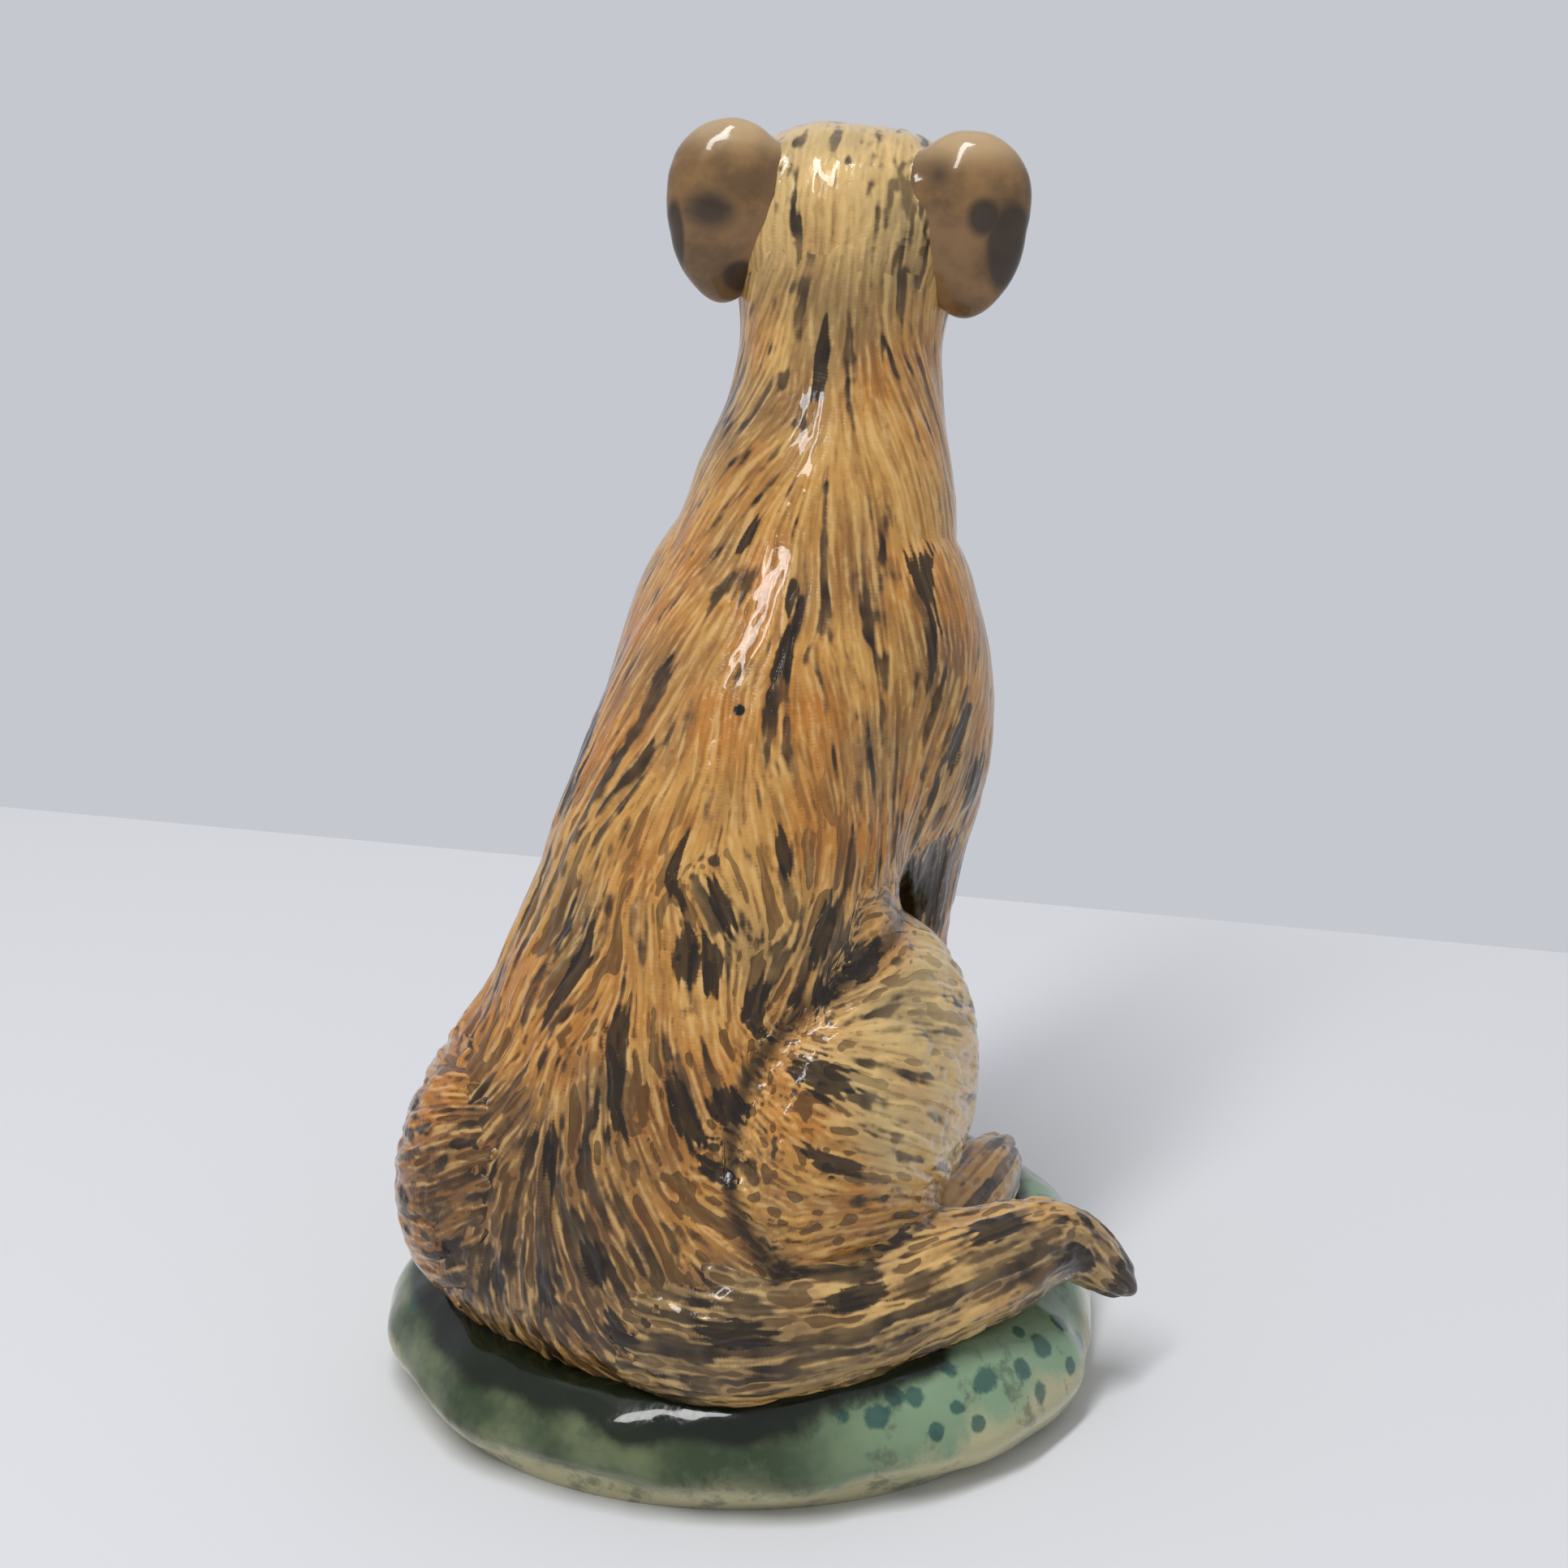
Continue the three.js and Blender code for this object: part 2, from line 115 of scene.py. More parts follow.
def skin(name, points, marks, loop=False):
    """A mesh from a grid of points in millimetres: a face between each two rows and columns, closed round.
    The end rows are poles, unless the rows close in a loop. Marks are numbers kept at each point."""
    rows, cols = points.shape[:2]
    number = np.arange(rows * cols).reshape(rows, cols)
    if not loop:
        number[0], number[-1] = number[0, 0], number[-1, 0]
    used, number = np.unique(number, return_inverse=True)
    number = number.reshape(rows, cols)
    low, high = (number, np.roll(number, -1, 0)) if loop else (number[:-1], number[1:])
    faces = np.stack([low, np.roll(low, -1, 1), np.roll(high, -1, 1), high], -1).reshape(-1, 4)
    kept = faces != np.roll(faces, 1, 1)
    ends = np.cumsum(kept.sum(1))
    mesh = bpy.data.meshes.new(name)
    mesh.vertices.add(len(used))
    mesh.vertices.foreach_set("co", (points.reshape(-1, 3)[used] * 0.001).astype(np.float32).ravel())
    mesh.loops.add(ends[-1])
    mesh.loops.foreach_set("vertex_index", faces[kept].astype(np.int32))
    mesh.polygons.add(len(faces))
    mesh.polygons.foreach_set("loop_start", np.append(0, ends[:-1]).astype(np.int32))
    mesh.update(calc_edges=True)
    mesh.shade_smooth()
    for key, value in marks.items():
        kind, field = ("FLOAT_VECTOR", "vector") if value.ndim == 3 else ("FLOAT", "value")
        numbers = value.reshape(rows * cols, -1)[used].astype(np.float32).ravel()
        mesh.attributes.new(key, kind, "POINT").data.foreach_set(field, numbers)
    piece = bpy.data.objects.new(name, mesh)
    bpy.context.scene.collection.objects.link(piece)
    return piece


def colour(red, green, blue):
    """A colour as a screen shows it, from 0 to 255, turned into light."""
    c = np.array([red, green, blue]) / 255
    return (*np.where(c > 0.04045, ((c + 0.055) / 1.055) ** 2.4, c / 12.92), 1.0)


def add(tree, kind, sockets, **settings):
    """Adds a node with these settings; a socket takes a number or a colour, or a link from another node."""
    node = tree.nodes.new(kind)
    for key, value in settings.items():
        setattr(node, key, value)
    for socket, value in sockets.items():
        if isinstance(value, bpy.types.NodeSocket):
            tree.links.new(value, node.inputs[socket])
        else:
            node.inputs[socket].default_value = value
    return node.outputs


def mixed(tree, share, first, second):
    """The first colour, going over to the second by a share."""
    return add(tree, "ShaderNodeMix", {0: share, 6: first, 7: second}, data_type="RGBA")[2]


def ramped(tree, value, low, high, start=0.0, end=1.0):
    """A value eased from start to end as it goes from low to high."""
    sockets = {0: value, 1: low, 2: high, 3: start, 4: end}
    return add(tree, "ShaderNodeMapRange", sockets, interpolation_type="SMOOTHSTEP")[0]


def speckle(tree, scale, detail=2.0, rough=0.5, shift=(0, 0, 0)):
    """Noise on the object's own coordinates, at so many blotches to the metre."""
    here = add(tree, "ShaderNodeTexCoord", {})["Object"]
    place = add(tree, "ShaderNodeMapping", {0: here, 1: shift})[0]
    sockets = {"Vector": place, "Scale": scale, "Detail": detail, "Roughness": rough}
    return add(tree, "ShaderNodeTexNoise", sockets)[0]


def mark(tree, name):
    """A number kept at the points of a piece."""
    return add(tree, "ShaderNodeAttribute", {}, attribute_name=name)["Fac"]


def worked(tree, operation, *values):
    """A number worked out from others."""
    return add(tree, "ShaderNodeMath", dict(enumerate(values)), operation=operation)[0]


def glazed(name, build, rough=0.16, coat=0.5):
    """A fired glaze: build gives its colour, its surface height and the lift of that, under a clear coat."""
    material = bpy.data.materials.new(name)
    material.use_nodes = True
    tree = material.node_tree
    shader = tree.nodes["Principled BSDF"]
    tint, height, lift = build(tree)
    tree.links.new(tint, shader.inputs["Base Color"])
    bump = add(tree, "ShaderNodeBump", {"Strength": 0.8, "Distance": lift, "Height": height})[0]
    tree.links.new(bump, shader.inputs["Normal"])
    gloss = ramped(tree, speckle(tree, 260), 0.3, 0.7, rough * 0.7, rough * 1.5)
    tree.links.new(gloss, shader.inputs["Roughness"])
    shader.inputs["Specular IOR Level"].default_value = 0.15
    shader.inputs["Coat Weight"].default_value = coat
    shader.inputs["Coat Roughness"].default_value = 0.04
    return material


def mound_grid():
    """The mound by rows along its section and columns round it: the skin's curve is turned about the middle,
    made oval and wobbled in outline; inside, the rings move over to the vent, run down it and out below."""
    turn = np.arange(MOUND_COLUMNS) * 2 * np.pi / MOUND_COLUMNS
    reach, height = through(MOUND_SKIN, np.linspace(0, 0.76, SKIN_ROWS), 0, 0).T
    wave = turn - MOUND_FULL_SIDE
    lobes = np.cos(2 * wave) + (np.cos(3 * wave) - np.cos(4 * wave)) / 2
    swell = 1 + MOUND_WOBBLE * lobes / MOUND_SKIN[1, 0]
    ring = np.stack([np.cos(turn) * swell * MOUND_WIDTH / MOUND_LENGTH, np.sin(turn) * swell], -1)
    outer = np.zeros((SKIN_ROWS, MOUND_COLUMNS, 3))
    outer[..., :2] = MOUND_MIDDLE + reach[:, None, None] * ring
    outer[..., 2] = height[:, None]
    vent = np.append(VENT_MIDDLE, 0) + VENT_REACH * np.stack([np.cos(turn), np.sin(turn), 0 * turn], -1)
    over = np.linspace(0, 1, INNER_ROWS + 1)[1:, None, None]
    inward = outer[-1] * (1 - over) + (vent + [0, 0, height[-1]]) * over
    down = vent + np.linspace(height[-1], 0, 7)[1:-1, None, None] * [0, 0, 1]
    out = vent + (outer[0] - vent) * np.append(np.linspace(0, 0.9, 10), [0.97, 0.99])[:, None, None]
    return np.concatenate([outer, inward, down, out])


points = mound_grid()
normal = facing(points, loop=True)
pressed = 1.5 * grain(points, 22.0, 2.1) + 0.9 * grain(points, 11.0) + 0.3 * grain(points, 5.0, 5.3)
free = np.zeros(points.shape[:2])
free[:SKIN_ROWS] = step(0.0, 3.0, points[:SKIN_ROWS, :, 2])
points = points + normal * (pressed * free)[..., None]
outline = points[0, :, :2] - MOUND_MIDDLE
bearing = np.arctan2(outline[:, 1], outline[:, 0])
height = points[..., 2]
drips = grain(points * [1, 1, 0.15], 6.0, 2.7)
hollow = np.zeros(points.shape[:2])
pool = step(8.2, 13.2, height[:SKIN_ROWS] - 9 * (1 - np.cos(bearing - POOL_SIDE)) + 1.6 * drips[:SKIN_ROWS])
hollow[:SKIN_ROWS] = np.maximum(pool, step(*HOLLOW_ROWS, np.arange(SKIN_ROWS)[:, None]))
hollow[:SKIN_ROWS] += 0.3 * grain(points[:SKIN_ROWS], 7.0, 4.4)
bare = np.zeros(points.shape[:2])
bare[SKIN_ROWS + INNER_ROWS:] = 1.0
drop = np.max([1 - np.linalg.norm(points - spot[:3], axis=-1) / spot[3] for spot in GLAZE_DROPS], axis=0)
sag = 3 * np.cos(2 * (bearing - POOL_SIDE) - 0.6)
thin = step(10, 1, height + 4 * grain(points, 14.0, 8.2) + 1.5 * drips + sag)
teal = step(0.2, 0.9, np.cos(bearing - TEAL_SIDE) + 0.3 * grain(points, 18.0, 6.6))
marks = {
    "hollow": np.clip(hollow, 0, 1), "bare": bare, "drop": np.clip(drop, -1, 1), "thin": thin, "teal": teal,
}
mound = skin("mound_glazed", points, marks, loop=True)

GREEN_LIGHT, GREEN_DARK = colour(108, 118, 84), colour(58, 72, 46)
TEAL_LIGHT, TEAL_DROP = colour(146, 176, 142), colour(34, 84, 80)
CREAM_EDGE, GREEN_FLECK = colour(192, 184, 144), colour(56, 78, 56)
POOL_DARK, BARE_CLAY = colour(16, 24, 8), colour(196, 176, 146)


def green_glaze(tree):
    """Green in clouds, cream where it runs thin at the foot, teal drops, dark where it pools, bare below."""
    cloud = speckle(tree, 60, 4, 0.6)
    fleck = speckle(tree, 190, 5, 0.65, (0.3, 0.1, 0.2))
    tint = mixed(tree, ramped(tree, cloud, 0.36, 0.6), GREEN_LIGHT, GREEN_DARK)
    tint = mixed(tree, ramped(tree, mark(tree, "teal"), 0.0, 1.0, 0.0, 0.85), tint, TEAL_LIGHT)
    thin = worked(tree, "MULTIPLY_ADD", fleck, 1.2, mark(tree, "thin"))
    tint = mixed(tree, ramped(tree, thin, 0.65, 1.2, 0.0, 0.9), tint, CREAM_EDGE)
    tint = mixed(tree, ramped(tree, fleck, 0.52, 0.66, 0.0, 0.6), tint, GREEN_FLECK)
    drop = worked(tree, "MULTIPLY_ADD", fleck, 1.2, mark(tree, "drop"))
    tint = mixed(tree, ramped(tree, drop, 0.85, 1.1, 0.0, 0.8), tint, TEAL_DROP)
    pool = worked(tree, "MULTIPLY_ADD", fleck, 0.7, mark(tree, "hollow"))
    tint = mixed(tree, ramped(tree, pool, 0.5, 1.1, 0.0, 0.95), tint, POOL_DARK)
    tint = mixed(tree, mark(tree, "bare"), tint, BARE_CLAY)
    return tint, speckle(tree, 420, 2), 0.00015


mound.data.materials.append(glazed("green_glaze", green_glaze))
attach(mound, "root")
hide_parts("base_mound")

# Trunk
# The thick roll of clay that stands on the mound: rump, loin, ribs and shoulders, cored from below.
# The other rolls are luted to it and smeared over at the joins, then hair is scratched in with a needle, the
# dark brindle brushed on in dabs, and the whole dog glazed honey.

SEAT = 13.5

# Paths up from the seat and widths by depths along them: the trunk, and the rolls that it is smeared onto
TRUNK_PATH = np.array([
    (5, 12, -7), (5.5, 12, 11), (5, 9, 33), (4, 2, 56), (2, -10, 79), (0, -20.5, 98), (0, -27, 113),
])
TRUNK_SIZE = np.array([(64, 56), (71, 59), (62, 51), (50, 43), (45, 41), (43.5, 38), (35, 34)], float)
NECK_PATH = np.array([(0, -20.5, 98), (0, -27, 113), (0.85, -31.5, 129), (1.7, -36, 145)])
NECK_SIZE = np.array([(35, 34), (30.75, 31.5), (26.5, 29), (26.5, 29)])
LEFT_THIGH_PATH = np.array([(27, 39, 16.5), (27, 14, 19.5), (27, -11, 22.5)])
LEFT_THIGH_SIZE = np.array([(30, 39)] * 3, float)
RIGHT_THIGH_PATH = np.array([(-16.5, 32, 19.5), (-16.5, 5, 29.5), (-16.5, -22, 39.5)])
RIGHT_THIGH_SIZE = np.array([(30, 48)] * 3, float)
FORELEG_PATH = np.array([
    (9, -23.5, 108), (14.6, -21.5, 95), (17.2, -20.5, 76), (12.5, -27.5, 47), (9.5, -35, 13), (9.5, -35, 0),
])
FORELEG_SIZE = np.array([(10, 22), (15, 25), (17, 27), (11.5, 13), (10.5, 10.5), (10.5, 10.5)])
TAIL_PATH = np.array([
    (10, 24, 8), (-12, 33, 9), (-26, 24, 9), (-36.5, 6, 10), (-43.5, -7, 9), (-52.5, -14, 0),
])
TAIL_SIZE = np.array([(19, 19), (19, 19), (15, 15), (15, 15), (12, 12), (8.5, 8.5)])

# How far the smear reaches from each seam; a join under the narrow width keeps its seam to be seen, with
# painted shade in its crease
NECK_JOIN, SHOULDER_JOIN, FORELEG_JOIN, LEFT_THIGH_JOIN = 13.0, 10.0, 8.0, 8.0
RIGHT_THIGH_JOIN, TAIL_JOIN, TOUCH_JOIN, NARROW_JOIN = 4.0, 9.0, 2.0, 5.0
LUTING_ROUNDS = 5
ACROSS, UPRIGHT = np.array([1.0, 0, 0]), np.array([0, 0, 1.0])

# Strokes of the needle: a place, and the way the hair lies there
BACK_HAIR = [
    (-2, -17, 140, 0, 0.3, -1), (9, -20, 147, 0.5, 0.1, -0.9), (6, -13, 133, 0.5, 0.4, -0.8),
    (6, -10, 128, 0.6, 0.3, -0.7), (-7, -17, 138, -0.1, 0.2, -1), (-13, -22, 136, -0.4, -0.1, -0.9),
    (-15, -18, 126, -0.3, 0.1, -0.9), (10, 0, 109, 0.5, 0.4, -0.8), (10, 8, 99, 0.4, 0.4, -0.8),
    (11, 15, 88, 0.5, 0.3, -0.8), (3, 19, 83, 0.2, 0.5, -0.8), (-2, 6, 104, 0.3, 0.6, -0.8),
    (-2, 11, 97, -0.1, 0.5, -0.9), (-7, 2, 108, -0.1, 0.6, -0.8), (-13, 2, 102, -0.4, 0.2, -0.9),
    (-13, -5, 111, -0.3, 0.4, -0.9), (-19, -12, 107, -0.3, 0.1, -0.9), (-22, -16, 93, 0.2, 0.5, -0.8),
    (-22, -19, 84, 0.2, 0.2, -1), (-17, 3, 90, -0.2, 0.2, -1), (-13, 10, 88, -0.4, 0.2, -0.9),
    (-18, 8, 80, -0.1, 0.4, -0.9), (12, 29, 61, 0.5, 0.2, -0.8), (25, 28, 53, 0.3, 0.5, -0.8),
    (19, 33, 49, 0.6, 0.3, -0.8), (10, 34, 50, -0.1, 0.4, -0.9), (4, 32, 56, -0.2, 0.4, -0.9),
    (-6, 32, 52, -0.4, 0.2, -0.9), (-4, 35, 46, -0.5, 0.2, -0.9), (-13, 33, 44, -1, 0, -0.3),
    (-11, 36, 34, -0.7, -0.2, -0.7), (-6, 38, 34, -0.5, 0.1, -0.9), (2, 39, 34, -0.5, 0.1, -0.8),
    (18, 38, 30, 0.2, 0.1, -1), (26, 38, 34, 0.2, 0, -1), (6, 40, 24, -0.6, 0, -0.8),
    (12, 40, 26, -0.1, 0, -1), (-1, 40, 20, -0.9, 0, -0.5), (-16, 40, 20, -0.9, -0.3, -0.2),
    (-7, 40, 27, -0.8, 0.2, -0.6), (-6, 21, 75, -0.6, 0.2, -0.8), (-3, 25, 69, -0.2, 0.4, -0.9),
    (-12, 17, 76, -0.3, 0.2, -0.9), (-17, 14, 72, 0.1, 0.6, -0.8), (-15, 20, 66, 0.2, 0.6, -0.8),
    (32, 25, 28, 0.2, -0.6, -0.8), (27, 5, 75, 0.2, 0.3, -0.9), (22, -12, 95, 0.1, 0.3, -0.9),
    (18, -20, 118, 0.3, 0.2, -0.9), (0, -45, 110, 0, -0.3, -1), (0, -33, 75, 0, 0.2, -1),
    (0, -22, 45, 0, 0, -1), (0, -48, 135, 0, 0, -1), (16, -28, 138, 0.3, 0, -1),
    (33, 10, 55, 0.2, 0.1, -1),
]
THIGH_HAIR = [
    (-21, 7, 66, -0.1, -1, 0.2), (-23, 15, 61, -0.5, -0.9, 0), (-27, 4, 59, -0.2, -0.9, -0.4),
    (-25, 20, 56, -0.6, -0.7, -0.4), (-22, 24, 56, -0.8, -0.3, -0.4), (-23, 27, 51, -0.7, -0.4, -0.5),
    (-19, 30, 50, -0.9, 0, -0.5), (-29, 17, 50, -0.3, -0.8, -0.4), (-30, 17, 45, -0.2, -0.8, -0.5),
    (-25, 27, 46, -0.6, -0.7, -0.4), (-13, 34, 39, -0.8, -0.3, -0.5), (-27, 24, 38, -0.4, -0.9, -0.2),
    (-23, 29, 35, -0.7, -0.7, 0.1), (-30, -10, 52, 0, -0.9, -0.4), (-28, -15, 40, 0, -0.7, -0.7),
]
COAT_HAIR = np.array(BACK_HAIR + THIGH_HAIR, float)

# The fold where the flank goes over into the drawn-up thigh, from the knee down to the rump
FLANK_FOLD = np.array([(-23, 8, 69), (-20, 17, 64), (-16, 26, 57), (-13, 33, 46)], float)
FOLD_DEPTH, FOLD_WIDTH = 1.6, 3.2

# Grey washes under the brindle: a place and a reach
WASHES = np.array([
    (25, 38, 36, 11), (15, 36, 44, 12), (16, 39, 26, 11), (4, 40, 24, 12), (-14, 38, 25, 12),
    (24, 0, 82, 9), (9, -10, 126, 7), (-20, -8, 104, 9), (-16, -18, 66, 10), (-9, -3, 113, 9),
    (14, 22, 70, 7), (-6, 33, 46, 10), (26, 18, 60, 7), (-47, -4, 21, 8), (20, 37, 42, 9),
], float)

# Brush dabs of the brindle: a place, half a length along the hair and half a width; how deep a dab reaches
DAB_DEPTH = 5.0
BACK_DABS = np.array([
    (-15, -18, 67, 11, 6), (-22, 25, 56, 4.5, 2.5), (-3, 25, 69, 4, 2), (-18, -13, 109, 6, 1.1),
    (4, 31, 58, 6, 2), (12, 27, 65, 9, 1.4), (1, 21, 79, 5, 0.8), (3, 40, 32, 3.5, 2),
    (-6, 21, 75, 4, 1.2), (-22, -19, 83, 4, 1.8), (-6, 24, 68, 4, 1.8), (-22, -14, 91, 5, 1.5),
    (-11, 30, 52, 3, 2.2), (-25, 28, 46, 5, 1.5), (-12, 24, 63, 5, 1.5), (-17, 14, 71, 5, 1.4),
    (-6, 32, 51, 5.5, 1.6), (-3, -16, 139, 5.5, 1), (3, 34, 52, 6, 1), (-12, 15, 81, 3.5, 1),
    (-7, 4, 105, 4, 1.2), (-6, 0, 111, 3.5, 1), (2, -4, 117, 3.5, 1), (-11, 33, 44, 3.5, 1.2),
    (-18, 17, 64, 3, 1.4), (11, 36, 44, 5, 1), (-28, 18, 31, 2.5, 1.4), (18, 38, 26, 3, 1.6),
    (10, 40, 27, 3, 2), (-2, 40, 24, 3.5, 1.5), (-22, 10, 67, 5, 1.6), (-47, -3, 23, 5, 2),
    (-38, 6, 28, 5, 1.5), (-28, 28, 28, 5, 1.5), (-51, -12, 17, 4, 2), (-16, 39, 26, 5, 1.5),
])

# Noise for the tufts, and for the clouds in the glaze: its size, how far it is drawn out and its spread then
TUFT_SIZE, TUFT_REACH, TUFT_SPREAD = 1.3, 3.5, 0.18
CLOUD_SIZE, CLOUD_REACH, CLOUD_SPREAD = 8.0, 4.0, 0.32
RUMP_HEIGHTS = 66, 20  # between these the brindle closes up, down towards the seat
BACK_HEIGHTS = 62, 98  # between these it opens out, up towards the neck
SHOULDER_RISES, SHOULDER_ENDS = (94, 106), (142, 130)  # heights about the joins at the shoulders
SPINE_TILT = 0.2
GREY_FROM = 0.3  # a brindle wilder than this greys the coat
FULL_CUT = 0.2  # depth of a hair that is cut right in


def roll(path, size, side, blunt, square=1.0):
    """A roll of clay as a function of t along it and turn round it: an ellipse of the given width and depth
    carried along a curve, and drawn in towards both ends by the root of one less the distance from the middle
    to a power. Square is the power of the ellipse's sine and cosine: less than 1 has fuller corners."""

    def surface(t, turn):
        cosine, sine = (np.sign(f) * np.abs(f) ** square for f in (np.cos(turn), np.sin(turn)))
        tangent = unit(through(path, t + 1e-4) - through(path, t - 1e-4))
        across = unit(side - tangent * (tangent @ side)[:, None])
        width, depth = through(size, t, 0, 0).T / 2
        end = np.sqrt(np.clip(1 - np.abs(2 * t - 1) ** np.where(t < 0.5, *blunt), 0, 1))
        wide = (end * width)[:, None, None] * across[:, None] * cosine[:, None]
        deep = (end * depth)[:, None, None] * np.cross(tangent, across)[:, None] * sine[:, None]
        return through(path, t)[:, None] + wide + deep

    return surface


def even(form, rows, cols, first=0.0, last=1.0):
    """A form's grid with its rows evenly apart on the skin, by the summed length of four lines along it."""
    t = (1 - np.cos(np.linspace(np.arccos(1 - 2 * first), np.arccos(1 - 2 * last), 3000))) / 2
    steps = np.linalg.norm(np.diff(form(t, np.arange(4) * np.pi / 2), axis=0), axis=-1).mean(1)
    length = np.append(0, np.cumsum(steps))
    return form(np.interp(np.linspace(0, length[-1], rows), length, t), np.arange(cols) * 2 * np.pi / cols)


def shell(form):
    """The skin of a form as loose points with their normals, to measure a neighbour against."""
    points = even(form, 64, 48)[1:-1]
    return points.reshape(-1, 3), facing(points).reshape(-1, 3)


def gap(points, other):
    """How far points stand off another form: their height over the plane of its nearest skin point. They are
    taken in parts of about 3000, which keeps the table of distances small."""
    spots, normals = other
    flat = points.reshape(-1, 3)
    middle = spots.mean(0)
    near = (spots - middle).astype(np.float32)
    size = (near**2).sum(1)
    parts = np.array_split((flat - middle).astype(np.float32), len(flat) // 3000 + 1)
    nearest = np.concatenate([np.argmin(size - 2 * part @ near.T, axis=1) for part in parts])
    return ((flat - spots[nearest]) * normals[nearest]).sum(1).reshape(points.shape[:-1])


def finer(values, count, axis):
    """Values spread over more rows (axis 0) or columns round (axis 1) by a cubic through four neighbours."""
    n = values.shape[axis]
    at = np.arange(count) * ((n - 1) / (count - 1) if axis == 0 else n / count)
    first = np.floor(at).astype(int)
    w = (at - first)[:, None] if axis == 0 else at - first
    share = [
        (-w + 2 * w**2 - w**3) / 2, (2 - 5 * w**2 + 3 * w**3) / 2,
        (w + 4 * w**2 - 3 * w**3) / 2, (w**3 - w**2) / 2,
    ]
    mode = "clip" if axis == 0 else "wrap"
    return sum(values.take(first + k - 1, axis, mode=mode) * share[k] for k in range(4))


def luted(form, rows, cols, joins, first=0.0, last=1.0):
    """A form smeared onto its neighbours: near a join of width k the skin rises to h squared times k/4 over
    the higher of the two forms, where h falls from 1 on the seam to 0 at k from it, so that both skins meet
    in one soft hollow. Past the seam the skin keeps to the hollow a little way and then dives under its
    neighbour. Also gives the crease, which is h at the narrow joins."""
    rough = even(form, rows // 2, cols // 2, first, last)
    normal = facing(rough)
    rise = np.zeros(rough.shape[:2])
    for _ in range(LUTING_ROUNDS):
        there = rough + normal * rise[..., None]
        fill, crease = np.zeros_like(rise), np.zeros_like(rise)
        for other, width in joins:
            low, high = other[0].min(0) - width, other[0].max(0) + width
            inside = np.minimum(there - low, high - there).min(-1)
            near = inside > 0
            if near.any():
                away = gap(there[near], other)
                h = np.clip(1 - np.abs(rise[near] - away) / width, 0, 1) * step(0, width / 2, inside[near])
                target = h * h * width / 4 + np.maximum(rise[near] - away, 0)
                fill[near] = np.maximum(fill[near], np.clip(target, 0, width / 4 + 0.5) * (h > 0))
                if width < NARROW_JOIN:
                    crease[near] = np.maximum(crease[near], h)
        rise = (rise + fill) / 2
    points = even(form, rows, cols, first, last)
    rise, crease = (finer(finer(values, rows, 0), cols, 1) for values in (rise, crease))
    return points + facing(points) * rise[..., None], crease


def comb(points, hairs):
    """The way of the hair: the sum of the strokes' directions, each over the square of its distance squared
    plus 6, so that the nearest strokes lead."""
    way = np.zeros_like(points)
    for hair in hairs:
        way += hair[3:] / (((points - hair[:3]) ** 2).sum(-1, keepdims=True) + 6) ** 2
    return way


def drawn(values, points, way, reach):
    """Values drawn out along the hair: the mean over half-millimetre steps, reach millimetres either way."""
    along = np.gradient(points, axis=0)
    around = (np.roll(points, -1, 1) - np.roll(points, 1, 1)) / 2
    a, b, c = (along * along).sum(-1), (along * around).sum(-1), (around * around).sum(-1)
    p, q = (way * along).sum(-1), (way * around).sum(-1)
    area = np.maximum(a * c - b * b, 1e-6)
    drift = np.clip(np.stack([c * p - b * q, a * q - b * p]) / area / 2, -4, 4)
    rows, cols = values.shape
    total = values.copy()
    count = int(reach * 2)
    for sign in (1, -1):
        row, col = np.meshgrid(np.arange(rows, dtype=float), np.arange(cols, dtype=float), indexing="ij")
        for _ in range(count):
            at = np.rint(row).astype(int), np.rint(col).astype(int) % cols
            row = np.clip(row + sign * drift[0][at], 0, rows - 1)
            col = col + sign * drift[1][at]
            total += values[np.rint(row).astype(int), np.rint(col).astype(int) % cols]
    return total / (2 * count + 1)


def brushed(points, normal, way, dabs):
    """Brush dabs: 1 in a dab's middle and 0 on its edge, by lengths along the hair and widths across it; less
    by 0.3 where the skin lies deeper or higher than a dab reaches."""
    best = np.full(points.shape[:2], -9.0)
    for dab in dabs:
        off = points - dab[:3]
        up = (off * normal).sum(-1)
        along = (off * way).sum(-1)
        across = np.maximum((off**2).sum(-1) - along**2 - up**2, 0)
        oval = np.sqrt((along / dab[3]) ** 2 + across / dab[4] ** 2)
        best = np.maximum(best, 1 - oval - 0.3 * (np.abs(up) > DAB_DEPTH))
    return best


def folded(points):
    """The skin pressed in along the flank's fold, by a bell curve of the distance to a line through it."""
    curve = through(FLANK_FOLD, np.linspace(0, 1, 40))
    off = np.sqrt(np.min([((points - spot) ** 2).sum(-1) for spot in curve], axis=0))
    return points - facing(points) * (FOLD_DEPTH * np.exp(-((off / FOLD_WIDTH) ** 2)))[..., None]


def outward(points):
    """The skin's normals. About the shoulders they go over to the way out from the spine and a little up it,
    which is the same for all the pieces that meet there, so that the hair runs on from one to the next."""
    spine = unit(NECK_PATH[-1] - NECK_PATH[0])
    off = points - NECK_PATH[0] - [0, 0, SEAT]
    off = unit(off - (off @ spine)[..., None] * spine) + SPINE_TILT * spine
    share = step(*SHOULDER_RISES, points[..., 2]) * step(*SHOULDER_ENDS, points[..., 2])
    return unit(facing(points) * (1 - share[..., None]) + off * share[..., None])


